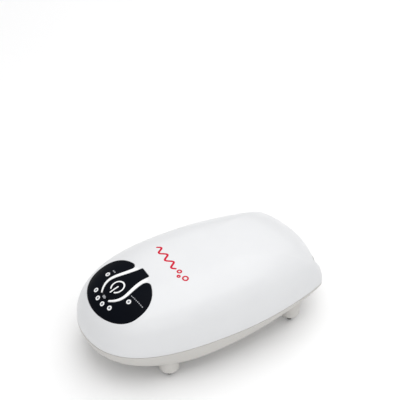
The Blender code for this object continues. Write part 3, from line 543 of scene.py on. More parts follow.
def panel_curve(turn):
    """A point of the panel's rim; turn 0 is its right side and a quarter turn its rear."""
    reach, power = panel_half(sin(turn) > 0)
    across = copysign(abs(cos(turn)) ** (2 / power), cos(turn))
    ahead = copysign(abs(sin(turn)) ** (2 / power), sin(turn))
    return Vector((across * PANEL_HALF_WIDTH, PANEL_Y + ahead * reach))


def inside_panel(point):
    reach, power = panel_half(point.y > PANEL_Y)
    across = abs(point.x) / PANEL_HALF_WIDTH
    ahead = abs(point.y - PANEL_Y) / reach
    return across**power + ahead**power < 1


def ridge_line(front_steps=20, rear_steps=36):
    """Centre line and half width of the right white ridge, from its front tip to its rear end."""
    front = (RIDGE_TIP, RIDGE_TIP + flat(2.3, 1.7), RIDGE_BULGE - flat(0, 3.3), RIDGE_BULGE)
    rear = (RIDGE_BULGE, RIDGE_BULGE + flat(0, 4.8), RIDGE_END - flat(0.3, 10.5), RIDGE_END)
    line = cubic(*front, front_steps) + cubic(*rear, rear_steps)
    tip, bulge, end = RIDGE_HALF_WIDTHS
    widths = [tip + (bulge - tip) * step / front_steps for step in range(front_steps)]
    widths += [bulge + (end - bulge) * step / rear_steps for step in range(rear_steps + 1)]
    return line + [RIDGE_END], widths


def ridge_edge(towards_key, clear):
    """One edge of the right ridge, moved away from the ridge by clear."""
    line, widths = ridge_line()
    sign = -1 if towards_key else 1
    return beside(line, [sign * (width + clear) for width in widths])


def mirrored(points):
    return [Vector((-point.x, point.y)) for point in reversed(points)]


def key_outline(clear):
    """The power key's outline, kept clear of the ridges beside it."""
    front, rear = KEY_ENDS
    edge = [point for point in ridge_edge(True, clear) if point.y < rear - KEY_END_SPAN]
    rear = rear + GAP - clear
    centre = Vector((edge[-1].x - KEY_CORNER, rear - KEY_CORNER))
    edge += [centre + spoke(pi / 2 * step / 5, KEY_CORNER) for step in range(6)]
    return edge + mirrored(edge) + [Vector((0, front - GAP + clear))]


def overlay_outline(grow):
    """The black panel's outline; grown by GAP it is the pocket in the shell, open to the key's window."""
    share = grow / GAP
    edge = ridge_edge(False, GAP)
    inner = [point for point in edge if inside_panel(point)]
    corner = edge[len(inner)]
    inner = [point for point in inner if (point - corner).length > LOBE_ROUND]
    tip_radius = RIDGE_HALF_WIDTHS[0] + GAP - grow
    opening = 40 * share
    cap = []
    for step in range(CAP_STEPS):
        turn = radians(180 - opening + (110 + opening) * step / CAP_STEPS)
        cap.append(RIDGE_TIP + spoke(turn, tip_radius))
    rim = []
    for step in range(RIM_STEPS + 1):
        point = panel_curve(pi / 2 - pi * step / RIM_STEPS)
        between_lobes = point.y > PANEL_Y and point.x < corner.x
        if not between_lobes and (point - corner).length > LOBE_ROUND:
            rim.append(point)
    start, end = inner[-1], rim[0]
    lobe = cubic(start, start.lerp(corner, LOBE_PULL), end.lerp(corner, LOBE_PULL), end, LOBE_STEPS)[1:]
    nose = Vector((0, PANEL_Y - PANEL_REACHES[0] - grow))
    round_trip = inner + lobe + rim[:-1]
    right = cap + beside(round_trip, [-grow] * len(round_trip))
    front = Vector((0, KEY_ENDS[0] - GAP + KEY_END_SPAN * share))
    return [front] + right + [nose] + mirrored(right)


# ---- Materials ----
class Look:
    """A material built up from procedural layers on one Principled shader."""

    def __init__(self, name, colour, roughness, **sockets):
        self.material = bpy.data.materials.new(name)
        self.material.use_nodes = True
        self.tree = self.material.node_tree
        self.shader = self.tree.nodes["Principled BSDF"]
        self.roughness = roughness
        self.colour = (*colour, 1.0)
        given = {socket.replace("_", " "): value for socket, value in sockets.items()}
        self.feed(self.shader, {"Base Color": self.colour, "Roughness": roughness, **given})
        self.place = self.node("ShaderNodeTexCoord", {}).outputs["Object"]

    def feed(self, node, inputs):
        """Set a node's inputs, or link the ones whose value is another node's output."""
        for name, value in inputs.items():
            if isinstance(value, bpy.types.NodeSocket):
                self.tree.links.new(value, node.inputs[name])
            else:
                node.inputs[name].default_value = value

    def node(self, kind, inputs, **settings):
        made = self.tree.nodes.new(kind)
        for key, value in settings.items():
            setattr(made, key, value)
        self.feed(made, inputs)
        return made

    def noise(self, scale, detail, stretch=(1, 1, 1)):
        """A noise value; the larger the scale, the finer its grain."""
        shift = self.node("ShaderNodeMapping", {"Scale": stretch, "Vector": self.place})
        grain = {"Scale": scale, "Detail": detail, "Vector": shift.outputs["Vector"]}
        return self.node("ShaderNodeTexNoise", grain).outputs["Fac"]

    def spread(self, value, low, high, start=0.3, end=0.7):
        """Stretch a value, so that start becomes low and end becomes high."""
        ends = {"Value": value, "From Min": start, "From Max": end, "To Min": low, "To Max": high}
        return self.node("ShaderNodeMapRange", ends).outputs["Result"]

    def tint(self, value, colour, amount):
        """Mix another colour in where the value is high."""
        base = self.shader.inputs["Base Color"]
        under = base.links[0].from_socket if base.is_linked else self.colour
        mixer = self.node("ShaderNodeMix", {}, data_type="RGBA")
        self.feed(mixer, {0: self.spread(value, 0, amount), 6: under, 7: (*colour, 1.0)})
        self.tree.links.new(mixer.outputs[2], base)

    def polish(self, value, change):
        """Let the roughness drift with the value."""
        drift = self.spread(value, self.roughness - change, self.roughness + change)
        self.feed(self.shader, {"Roughness": drift})

    def skin(self, value, depth):
        """Raise the surface by depth where the value is high."""
        bump = self.node("ShaderNodeBump", {"Strength": 1.0, "Distance": depth, "Height": value})
        self.feed(self.shader, {"Normal": bump.outputs["Normal"]})

    def bands(self, axis, scale, shape="SIN", distortion=0.0):
        """Parallel bands across an axis; the larger the scale, the closer they lie."""
        inputs = {"Scale": scale, "Distortion": distortion, "Vector": self.place}
        wave = self.node("ShaderNodeTexWave", inputs, bands_direction=axis, wave_profile=shape)
        return wave.outputs["Fac"]


def shade(colour, share, lift=0.0):
    return [channel * share + lift for channel in colour]


def plastic(name, colour, roughness, mottle, grain, depth, **sockets):
    """Moulded plastic: faint flow clouding, an uneven polish and a fine skin."""
    look = Look(name, colour, roughness, **sockets)
    look.tint(look.noise(45, 4), shade(colour, 1 - mottle), 1.0)
    look.polish(look.noise(130, 5), roughness * 0.18)
    look.skin(look.noise(grain, 2), depth)
    return look.material


def rubber(name, colour):
    look = Look(name, colour, 0.7)
    look.tint(look.noise(320, 6), shade(colour, 0.7, 0.06), 0.6)
    look.polish(look.noise(500, 4), 0.1)
    look.skin(look.noise(4200, 3), 2e-5)
    return look.material


def brushed(name, colour, roughness, stretch=(1, 1, 14), tarnish=0.35):
    look = Look(name, colour, roughness, Metallic=1.0)
    look.tint(look.noise(160, 5), shade(colour, 0.6), tarnish)
    lines = look.noise(900, 3, stretch)
    look.polish(lines, roughness * 0.35)
    look.skin(lines, 4e-6)
    return look.material


def laminated(name, colour, roughness):
    """Stacked steel sheets: dark lines between them, across Z."""
    look = Look(name, colour, roughness, Metallic=1.0)
    sheets = look.bands("Z", 200)
    look.tint(sheets, shade(colour, 0.35), 0.8)
    look.polish(look.noise(700, 4), 0.1)
    look.skin(sheets, 8e-5)
    return look.material


def wound(name, colour, roughness):
    """Enamelled wire laid in turns across Y."""
    look = Look(name, colour, roughness, Metallic=0.7, Coat_Weight=0.4)
    turns = look.bands("Y", 190, distortion=0.6)
    look.tint(turns, shade(colour, 0.45), 0.7)
    look.skin(turns, 0.00012)
    return look.material


def felted(name, colour):
    look = Look(name, colour, 0.95, Sheen_Weight=0.3)
    fibres = look.noise(2600, 6, (1, 0.3, 1))
    look.tint(fibres, shade(colour, 0.55), 0.8)
    look.skin(fibres, 0.0002)
    return look.material


def printed_board(name, colour):
    look = Look(name, colour, 0.4, Coat_Weight=0.3)
    tracks = look.bands("X", 90, shape="TRI", distortion=3.0)
    look.tint(tracks, (0.05, 0.3, 0.12), 0.6)
    look.tint(look.noise(380, 2), (0.01, 0.1, 0.05), 0.7)
    look.skin(tracks, 3e-5)
    return look.material


def milky(name, colour, roughness=0.35, through=0.25):
    look = Look(name, colour, roughness, Transmission_Weight=through, IOR=1.46)
    look.tint(look.noise(240, 4), shade(colour, 0.86), 0.8)
    look.polish(look.noise(420, 4), 0.06)
    look.skin(look.noise(2100, 2), 6e-6)
    return look.material


def painted_ridge_highlight(name, colour, fade_to):
    """The ridges' painted highlight: a brighter white than the shell's, which fades to the shell's own
    white at their rear end.
    """
    look = Look(name, colour, 0.25, Coat_Weight=0.3)
    split = look.node("ShaderNodeSeparateXYZ", {"Vector": look.place})
    look.tint(look.spread(split.outputs["Y"], 0, 1, *RIDGE_HIGHLIGHT_FADE), fade_to, 1.0)
    look.skin(look.noise(1800, 2), 3e-6)
    return look.material


SHELL_WHITE = (0.745, 0.752, 0.765)
SHELL_COAT = {"Coat_Weight": 0.15, "Coat_Roughness": 0.2}
PANEL_BLACK = (0.0035, 0.0046, 0.0078)
LOOKS = {
    "white_shell": plastic("shell_white", SHELL_WHITE, 0.34, 0.02, 1400, 1.5e-6, **SHELL_COAT),
    "ivory_tray": plastic("tray_ivory", (0.59, 0.575, 0.55), 0.42, 0.03, 1600, 2e-6),
    "black_panel": plastic("panel_black", PANEL_BLACK, 0.38, 0.3, 1500, 1e-6, Specular_IOR_Level=0.03),
    "clear_lens": milky("lens_milk", (0.82, 0.83, 0.85)),
    "black_rubber": rubber("rubber_black", (0.016, 0.016, 0.017)),
    "grey_rubber": rubber("rubber_grey", (0.16, 0.16, 0.165)),
    "steel": brushed("steel_plated", (0.6, 0.61, 0.63), 0.3),
    "core_steel": laminated("steel_laminated", (0.3, 0.31, 0.33), 0.45),
    "copper": wound("copper_wire", (0.72, 0.3, 0.11), 0.3),
    "magnet": brushed("magnet_plated", (0.5, 0.51, 0.53), 0.2, (1, 1, 1), 0.2),
    "nickel": brushed("nickel_strip", (0.64, 0.61, 0.54), 0.3, (1, 14, 1)),
    "circuit_board": printed_board("board_green", (0.015, 0.15, 0.06)),
    "cell_wrap": plastic("cell_sleeve", (0.03, 0.16, 0.42), 0.32, 0.12, 900, 1e-5, Coat_Weight=0.4),
    "grey_plastic": plastic("plastic_grey", (0.26, 0.27, 0.28), 0.48, 0.08, 3400, 1.2e-5),
    "frosted_plastic": milky("plastic_frosted", (0.66, 0.67, 0.66), 0.45, 0.15),
    "clear_tube": milky("tube_silicone", (0.72, 0.76, 0.76), 0.25, 0.5),
    "felt": felted("filter_felt", (0.5, 0.51, 0.53)),
}
# Painted highlight: the ridges' colour is a brighter white than the shell's, fading to the shell's white at
# the rear.
RIDGE_PAINTED_HIGHLIGHT = painted_ridge_highlight("ridge_highlight_painted", (0.93, 0.935, 0.94), SHELL_WHITE)
PRINT_WHITE = plastic("print_white", (0.9, 0.905, 0.91), 0.4, 0.04, 4200, 1e-6)
PRINT_GREY = plastic("print_grey", (0.3, 0.31, 0.33), 0.45, 0.1, 4200, 1e-6)
PRINT_RED = plastic("print_red", (0.62, 0.003, 0.035), 0.5, 0.08, 4200, 1e-6, Specular_IOR_Level=0.15)
LENS_GREY = milky("lens_grey", (0.22, 0.23, 0.26), 0.2, 0.2)


# ---- Case ----
LIP, LIP_RISE, EDGE = mm(0.9, 1.2, 0.25)
MID_WALL = 1.0 * MM
ABOVE_SEAM = 2 * MM
SHELL_BOSS_RADIUS, TRAY_BOSS_RADIUS, TRAY_BOSS_Z = mm(3.2, 4.2, 8)
BOARD_POST = (15.5, -48)
BOARD_POST_RADIUS, BOARD_POST_Z = mm(2, 45)
SCREW_RADIUS, SCREW_TIP_SPACE = mm(1.5, 1)
HEAD_RADIUS, HEAD_HEIGHT = mm(2.9, 1.8)
FOOT_RADIUS, FOOT_STEP, FOOT_TOP_Z, FOOT_BASE_Z, FOOT_BOWL = mm(6.3, 0.2, 22, 3.2, 4)
MOUNT_POST_RADIUS = 3 * MM
BAY_LOW = Vector((-26.5, 62, 28)) * MM
BAY_HIGH = Vector((26.5, 100, 40.5)) * MM
BAY_WALL, BAY_ROUND = mm(2, 2)
BAY_STEPS = 6
REBATE, REBATE_ROUND, REBATE_DEPTH = mm(0.5, 2.4, 0.4)
SOCKET_MARGIN, SOCKET_ROUND = mm(0.35, 0.6)
NOZZLE_RADIUS = 2.6 * MM
CUT_EDGE = 0.01 * MM
PAST, THROUGH = mm(3, 5)
SHELL_CLEARANCE, PANEL_CLEARANCE = mm(0.15, 0.08)


def seam_rings(level, away, lap, top):
    """A rounded edge at the seam, above (1) or below (-1) its level, then the lap and the inner wall."""
    rings = []
    for step in range(4):
        turn = pi / 2 * step / 3
        rings.append(flat_ring(EDGE * (1 - cos(turn)), level + away * EDGE * (1 - sin(turn))))
    return rings + [flat_ring(lap, level), flat_ring(lap, top), flat_ring(WALL, top)]


def upright(name, centre, low, high, radius):
    """A rod along Z over a plan point."""
    return rod(name, (centre.x, centre.y, low), (centre.x, centre.y, high), radius)


def lens_axis(node):
    """Where a lens meets the dome, and the dome's normal there."""
    centre = middle(node)
    place, normal = dome_frame(centre.x, centre.y)
    for _ in range(6):
        along = (place.z - centre.z) / normal.z
        place, normal = dome_frame(centre.x + normal.x * along, centre.y + normal.y * along)
    return place, normal


def lens_hole(node, clearance):
    """A cutter along a lens's axis."""
    place, normal = lens_axis(node)
    return rod("lens_hole", place - normal * THROUGH, place + normal * PAST, LENS_RADIUS + clearance)


def dome_skin():
    """The dome: outer skin, a rounded edge that laps the tray's lip, and the inner skin."""
    lap_top = SHELL_EDGE_Z + LIP_RISE + GAP
    rings = [(*CROWN, HEIGHT)]
    rings += dome_rings(0, DOME_LEVELS, SHELL_EDGE_Z + EDGE)
    rings += seam_rings(SHELL_EDGE_Z, 1, LIP - GAP, lap_top)
    rings += dome_rings(WALL, INNER_LEVELS, lap_top + GAP)[::-1]
    rings.append((*CROWN, HEIGHT - WALL))
    return lofted("case_dome", rings)


def shell_supports(shell):
    """Bay walls, screw bosses and board posts, all ending inside the dome's wall."""
    mid_wall = hull("mid_wall", MID_WALL)
    low = (BAY_LOW.x - BAY_WALL, BAY_LOW.y - BAY_WALL, SEAM_Z + ABOVE_SEAM)
    high = (BAY_HIGH.x + BAY_WALL, BAY_HIGH.y, BAY_HIGH.z + BAY_WALL)
    supports = [box("bay_block", low, high)]
    for node in SCREW_NODES:
        supports.append(upright("boss", middle(node), SEAM_Z + ABOVE_SEAM, HEIGHT, SHELL_BOSS_RADIUS))
    for side in (-1, 1):
        post = flat(BOARD_POST[0] * side, BOARD_POST[1])
        supports.append(upright("board_post", post, BOARD_POST_Z, HEIGHT, BOARD_POST_RADIUS))
    for support in supports:
        join(shell, within(support, mid_wall))
    bpy.data.objects.remove(mid_wall)


def bay_openings(shell):
    """The rear bay with its stepped mouth, and the ways through its inner wall."""
    cut(shell, box("bay", BAY_LOW, BAY_HIGH, BAY_ROUND, BAY_STEPS))
    widening = Vector((REBATE, 0, REBATE))
    rebate = box("rebate", BAY_LOW - widening, BAY_HIGH + widening, REBATE_ROUND, BAY_STEPS)
    cut(shell, cut(rebate, hull("rebate_floor", REBATE_DEPTH)))
    low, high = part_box("charge_socket")
    way_low = (low.x - SOCKET_MARGIN, BAY_LOW.y - PAST, low.z - GAP)
    way_high = (high.x + SOCKET_MARGIN, BAY_LOW.y + PAST, high.z + GAP)
    cut(shell, box("socket_hole", way_low, way_high, SOCKET_ROUND))
    for hand in HANDS:
        centre = middle(f"outlet_nozzle_{hand}")
        start, end = [(centre.x, BAY_LOW.y + away, centre.z) for away in (-PAST, PAST)]
        cut(shell, rod("nozzle_hole", start, end, NOZZLE_RADIUS + GAP, 48))


def upper_shell():
    """The dome with its bosses and rear bay, and the panel's pocket, window and holes."""
    shell = dome_skin()
    shell_supports(shell)
    bay_openings(shell)
    for node in SCREW_NODES:
        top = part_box(node)[1].z + SCREW_TIP_SPACE
        cut(shell, upright("pilot", middle(node), SEAM_Z, top, SCREW_RADIUS + GAP))
    cut(shell, inlay("pocket", overlay_outline(GAP), PAST, PANEL_SINK + GAP, edge=CUT_EDGE))
    cut(shell, inlay("window", key_outline(0), PAST, THROUGH, edge=CUT_EDGE))
    for node in LENS_NODES:
        cut(shell, lens_hole(node, SHELL_CLEARANCE))
    dress(shell, "white_shell", replaces=("upper_shell",))


def foot_profile():
    """A foot post from its top, inside the case, down to its bowl-shaped base."""
    profile = [(0, FOOT_TOP_Z), (FOOT_RADIUS + FOOT_STEP, FOOT_TOP_Z)]
    profile += arc((0, FOOT_BASE_Z + FOOT_BOWL), (FOOT_RADIUS, FOOT_BOWL), 0, -86, 22)
    return profile + [(0, FOOT_BASE_Z)]


def tray_skin():
    """The tray: a flat belly, rolled sides, a rounded edge and a lip inside the dome's edge."""
    rings = [(*CROWN, belly_height(CROWN[1]))]
    sides = [roll_ring(pi / 2 * level / TRAY_LEVELS) for level in range(TRAY_LEVELS, 0, -1)]
    rings += [ring for ring in sides if ring[:, 2].max() < TRAY_EDGE_Z - EDGE]
    rings += seam_rings(TRAY_EDGE_Z, -1, LIP, TRAY_EDGE_Z + LIP_RISE)
    rings += [roll_ring(pi / 2 * level / INNER_LEVELS, WALL) for level in range(INNER_LEVELS + 1)]
    rings.append((*CROWN, belly_height(CROWN[1]) + WALL))
    return lofted("case_tray", rings)


def tray_supports(tray):
    """Screw bosses and foot posts that start inside the wall, and posts under the rubber mounts."""
    mid_wall = hull("mid_wall", MID_WALL)
    for node in SCREW_NODES:
        boss = upright("boss", middle(node), TRAY_BOSS_Z, TRAY_EDGE_Z, TRAY_BOSS_RADIUS)
        join(tray, within(boss, mid_wall))
    for node in PAD_NODES:
        centre = middle(node)
        post = turned("foot_post", foot_profile(), place=(centre.x, centre.y, 0))
        join(tray, combine(post, mid_wall, "DIFFERENCE"))
    bpy.data.objects.remove(mid_wall)
    for corner in CORNERS:
        low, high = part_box(f"rubber_mount_{corner}")
        centre = (low + high) / 2
        start = belly_height(centre.y) + WALL / 2
        join(tray, upright("mount_post", centre, start, low.z - GAP, MOUNT_POST_RADIUS))


def tray_openings(tray):
    """Ways from below for the screws and their heads, and sockets for the rubber tips."""
    for node in SCREW_NODES:
        centre = middle(node)
        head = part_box(node)[0].z + HEAD_HEIGHT + GAP
        cut(tray, upright("screw_way", centre, 0, TRAY_EDGE_Z + LIP_RISE, SCREW_RADIUS + GAP))
        cut(tray, upright("head_way", centre, 0, head, HEAD_RADIUS + GAP))
    for node in PAD_NODES:
        low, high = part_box(node)
        radius = (high.x - low.x) / 2 + GAP
        cut(tray, upright("pad_socket", (low + high) / 2, -1 * MM, high.z + GAP, radius))


def lower_shell():
    """The tray with its posts, the filter's cup in its belly, and its holes."""
    tray = tray_skin()
    tray_supports(tray)
    join(tray, belly_rod("filter_cup"))
    cut(tray, belly_rod("filter_bore"), belly_rod("cover_seat"))
    tray_openings(tray)
    dress(tray, "ivory_tray", replaces=("lower_shell",))


FILTER_Y = 30 * MM
BELLY_RODS = {
    "filter_cup": mm(1.1, 5.6, 12.3),
    "filter_bore": mm(-2, 7, 10.8),
    "cover_seat": mm(-2, 1.3, 13.0),
}


def belly_axis():
    """The filter's centre on the sloping belly and the direction into the case."""
    slope = atan2(BELLY_RISE, HALF_LENGTH)
    return Vector((0, FILTER_Y, belly_height(FILTER_Y))), Vector((0, -sin(slope), cos(slope)))


def belly_rod(name):
    """A rod along the filter's axis, from its start and end depth and its radius."""
    place, axis = belly_axis()
    start, end, radius = BELLY_RODS[name]
    return rod(name, place + axis * start, place + axis * end, radius, 64)


# ---- Control panel ----
KEY_DEPTH = 3.2 * MM
STEM_RADIUS = 1.8 * MM
STEM_FOOT_Y, STEM_HEAD_Y, STEM_HEAD_Z = mm(-52.9, -52.3, 50)
LUG_DEPTH = 3.4 * MM
PRINT, PRINT_SINK, PRINT_EDGE = mm(0.03, 0.08, 0.02)
SYMBOL_CENTRE = flat(0, -55.7)
SYMBOL_RADIUS, SYMBOL_PEN = mm(4.1, 0.48)
SYMBOL_OPENING = 68
SYMBOL_STEPS = 48
RIDGE_RISE, RIDGE_ROUND, RIDGE_SINK = mm(0.35, 0.3, 0.38)
RIDGE_SINK_Y, RIDGE_SINK_SPAN = mm(-43, 6.5)
LENS_RISE, LENS_ROUND, LENS_DEPTH = mm(0.12, 0.2, 2.4)
LENS_WINDOW = ((0, 0.1), (0.3, 0.11), (0.66, 0.2), (0.72, 0.26))
WINDOW_RADIUS = 0.74 * MM


def patch(left, front, right, rear):
    """A plan rectangle, given in millimetres."""
    return [flat(left, front), flat(right, front), flat(right, rear), flat(left, rear)]


def control_panel():
    overlay = inlay("panel_overlay", overlay_outline(0), PANEL_PROUD, PANEL_SINK, edge=0.15 * MM)
    for node in LENS_NODES:
        cut(overlay, lens_hole(node, PANEL_CLEARANCE))
    dress(overlay, "black_panel", replaces=("control_panel",))


def power_key():
    """The press key with its side lugs and its stem."""
    key = inlay("power_key", key_outline(GAP), PANEL_PROUD, KEY_DEPTH, edge=0.18 * MM)
    low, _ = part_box("power_button")
    stem = rod("stem", (0, STEM_FOOT_Y, low.z), (0, STEM_HEAD_Y, STEM_HEAD_Z), STEM_RADIUS)
    lugs = inlay("lugs", patch(-11, -58.5, 11, -54.5), -WALL - GAP, LUG_DEPTH, edge=CUT_EDGE)
    join(key, lugs, stem)
    dress(key, "black_panel", body="power_button", replaces=("power_button",))


def power_symbol():
    """The sign on the key: a ring open at the front, with a bar in the opening."""
    ring = []
    for step in range(SYMBOL_STEPS + 1):
        turn = -90 + SYMBOL_OPENING / 2 + (360 - SYMBOL_OPENING) * step / SYMBOL_STEPS
        ring.append(SYMBOL_CENTRE + spoke(radians(turn), SYMBOL_RADIUS))
    bar = [SYMBOL_CENTRE + flat(0, ahead) for ahead in (-4.9, -2, 0.2)]
    for name, line in (("power_symbol_ring", ring), ("power_symbol_bar", bar)):
        loop = stroke(line, SYMBOL_PEN)
        sign = inlay(name, loop, PANEL_PROUD + PRINT, 0.1 * MM, edge=PRINT_EDGE, pitch=0.5 * MM)
        dress(sign, "clear_lens", PRINT_WHITE, body="power_button")


def ridges():
    """The two white ridges that sweep round the key and run out into the shell."""
    line, _ = ridge_line()
    cap = round_cap(line[1], line[0], RIDGE_HALF_WIDTHS[0], 8)
    right = ridge_edge(False, 0) + ridge_edge(True, 0)[::-1] + cap
    for hand, loop in (("right", right), ("left", mirrored(right))):
        name = f"panel_ridge_{hand}"
        ridge = inlay(name, loop, RIDGE_RISE, 0.3 * MM, edge=RIDGE_ROUND, pitch=0.8 * MM, steps=5)
        for vertex in ridge.data.vertices:
            fade = min(max((vertex.co.y - RIDGE_SINK_Y) / RIDGE_SINK_SPAN, 0), 1)
            vertex.co.z -= RIDGE_SINK * fade * fade * (3 - 2 * fade)
        # The ridges' material is a painted highlight over the shell's own white.
        dress(ridge, "white_shell", RIDGE_PAINTED_HIGHLIGHT)


def lens_profile():
    """From the grey window's middle, over the white ring, to the foot of the light pipe."""
    top = PANEL_PROUD + LENS_RISE
    profile = [(radius * MM, top - drop * MM) for radius, drop in LENS_WINDOW]
    profile += arc((0.9 * MM, top - 0.12 * MM), mm(0.16, 0.12), 180, 90, 4)
    profile += arc((LENS_RADIUS - LENS_ROUND, top - LENS_ROUND), (LENS_ROUND, LENS_ROUND), 90, 0, 4)
    return profile + [(LENS_RADIUS, -LENS_DEPTH), (0, -LENS_DEPTH)]


def lenses():
    """Each light: a white ring round a small grey window, on a light pipe."""
    for node in LENS_NODES:
        place, normal = lens_axis(node)
        lens = turned(f"{node}_light", lens_profile(), place, normal, segments=40, sharp=60)
        dress(lens, "clear_lens", PRINT_WHITE, LENS_GREY, replaces=(node,))
        for face in lens.data.polygons:
            offset = lens.matrix_world @ face.center - place
            rise = offset.dot(normal)
            if rise > 0 and (offset - normal * rise).length < WINDOW_RADIUS:
                face.material_index = 1


def mark(name, loops, look, base=PANEL_PROUD, slot="clear_lens", rings=()):
    """Printed shapes that lie on the dome, or on the panel, as one piece."""
    lift = base + PRINT
    depth = PRINT_SINK - base
    parts = [inlay(name, loop, lift, depth, edge=PRINT_EDGE, pitch=0.6 * MM) for loop in loops]
    parts += [ring_inlay(name, centre, outer, inner, lift, depth) for centre, outer, inner in rings]
    shape = bmesh.new()
    for part in parts:
        shape.from_mesh(part.data)
        bpy.data.objects.remove(part)
    dress(shown(name, smoothed(meshed(name, shape), 50)), slot, look)


DASH_FILL = 0.35
WAVE_START = flat(-17.5, -19.6)
WAVE_LENGTH, WAVE_HEIGHT = mm(24, 1.9)
WAVE_COUNT = 3
WAVE_STEPS = 60
WAVE_PEN = 0.7 * MM
BUBBLES = ((9.8, -18.8, 1.7), (13.2, -21.2, 1.3), (16.6, -18.4, 2.1))
BUBBLE_LINE = 1.0


def dashes(start, end, count, half_width):
    """A row of short strokes from start to end."""
    loops = []
    span = (end - start) / count
    for index in range(count):
        first = start + span * (index + (1 - DASH_FILL) / 2)
        line = [first, first + span * DASH_FILL / 2, first + span * DASH_FILL]
        loops.append(stroke(line, half_width, 4))
    return loops


def printed_marks():
    """Plain marks beside the lights, and a wave with a few bubbles on the dome."""
    mark("charge_mark", [patch(-1.5, -65.5, 1.1, -64.1), patch(1.25, -65.1, 1.6, -64.5)], PRINT_GREY)
    mark("power_mark", dashes(flat(-14.6, -51.6), flat(-11.4, -51.6), 2, 0.42 * MM), PRINT_GREY)
    mark("pump_mark", dashes(flat(11.2, -52.4), flat(22.4, -50.2), 8, 0.3 * MM), PRINT_GREY)

    wave = []
    for step in range(WAVE_STEPS + 1):
        share = step / WAVE_STEPS
        swing = sin(WAVE_COUNT * 2 * pi * share)
        wave.append(WAVE_START + Vector((WAVE_LENGTH * share, WAVE_HEIGHT * swing)))
    bubbles = [(flat(x, y), radius * MM, (radius - BUBBLE_LINE) * MM) for x, y, radius in BUBBLES]
    mark("bubble_mark", [stroke(wave, WAVE_PEN)], PRINT_RED, 0.0, "white_shell", bubbles)


# ---- Fittings ----
PAD_ROUND = 0.8 * MM
BORE = 1.3 * MM
TAIL_RADIUS = 2.3 * MM
FLANGE_RADIUS = 4.5 * MM
FLANGE_ENDS = mm(58.4, 59.7)
BARB = ((2.25, 0), (2.9, 0.15), (2.85, 0.5), (2.3, 2.3))
BARB_PITCH = 2.8 * MM
TIP_ROUND = 0.2 * MM
MOUTH_TAPER, MOUTH_ROUND = mm(1.1, 0.55)
SOCKET_WALL = 0.35 * MM
TONGUE_HALF_WIDTH = 1.8 * MM
TONGUE_Z = mm(33.9, 34.4)
COVER_RADIUS, COVER_THICKNESS, COVER_ROUND = mm(12.7, 1.0, 0.35)
SLOT_REACH, SLOT_PITCH, SLOT_HALF_WIDTH = mm(9.2, 2.6, 0.6)
SKIN = 1.2 * MM
DISC_RADIUS = 4.2 * MM
CLAMP_RADIUS = 7.4 * MM


def foot_pads():
    for node in PAD_NODES:
        low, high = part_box(node)
        centre = (low + high) / 2
        radius = (high.x - low.x) / 2
        profile = [(0, high.z), (radius, high.z)]
        profile += arc((radius - PAD_ROUND, PAD_ROUND), (PAD_ROUND, PAD_ROUND), 0, -90, 10)
        profile += [(0, 0)]
        pad = turned(f"{node}_tip", profile, place=(centre.x, centre.y, 0), segments=48)
        dress(pad, "black_rubber", replaces=(node,))


def nozzle_profile(inner, tip):
    """A tube with a flange behind the bay's wall and three barbs towards its tip."""
    profile = [(BORE, inner), (TAIL_RADIUS, inner), (TAIL_RADIUS, FLANGE_ENDS[0] - 0.2 * MM)]
    profile += [(FLANGE_RADIUS, end) for end in FLANGE_ENDS]
    profile.append((NOZZLE_RADIUS, FLANGE_ENDS[1]))
    for place in (3, 2, 1):
        start = tip + TIP_ROUND - BARB_PITCH * place
        profile += [(radius * MM, start + rise * MM) for radius, rise in BARB]
    profile += [(1.9 * MM, tip - 0.12 * MM), (1.75 * MM, tip)]
    return profile + [(BORE + 0.15 * MM, tip), (BORE, tip - TIP_ROUND)]


def outlet_nozzles():
    """Barbed hose tails, each a turned tube through the bay's wall."""
    for hand in HANDS:
        node = f"outlet_nozzle_{hand}"
        low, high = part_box(node)
        centre = (low + high) / 2
        profile = nozzle_profile(low.y, high.y)
        tail = sleeve(f"{node}_barb", profile, (centre.x, 0, centre.z), (0, 1, 0), 56)
        dress(tail, "frosted_plastic", replaces=(node,))


def prism(name, loop, low_y, high_y):
    """An outline in X and Z pushed along Y."""
    count = len(loop)
    points = [(x, y, z) for y in (low_y, high_y) for x, z in loop]
    low, high = list(range(count)), list(range(count, 2 * count))
    return mesh_object(name, points, [low, high[::-1]] + band(low, high), 30)


def socket_loop(low, high, inset):
    """The socket's mouth: a flat top with rounded corners and a narrower bottom."""
    corner = MOUTH_ROUND - inset * 0.5
    left, right = low.x + inset, high.x - inset
    bottom, top = low.z + inset, high.z - inset
    slant = MOUTH_TAPER * 0.8
    loop = arc((right - corner, top - corner), (corner, corner), 0, 90, 5)
    loop += arc((left + corner, top - corner), (corner, corner), 90, 180, 5)
    loop += [(left, bottom + MOUTH_TAPER), (left + slant, bottom)]
    return loop + [(right - slant, bottom), (right, bottom + MOUTH_TAPER)]


def charge_socket():
    """A steel sleeve with a blind mouth and a tongue in it."""
    low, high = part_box("charge_socket")
    body = prism("usb_socket", socket_loop(low, high, 0), low.y, high.y)
    mouth = prism("mouth", socket_loop(low, high, SOCKET_WALL), low.y + 0.8 * MM, high.y + 1 * MM)
    tongue_low = (-TONGUE_HALF_WIDTH, low.y + 0.5 * MM, TONGUE_Z[0])
    tongue_high = (TONGUE_HALF_WIDTH, high.y - 0.7 * MM, TONGUE_Z[1])
    join(cut(body, mouth), box("tongue", tongue_low, tongue_high, 0.08 * MM, 2))
    dress(body, "steel", replaces=("charge_socket",))


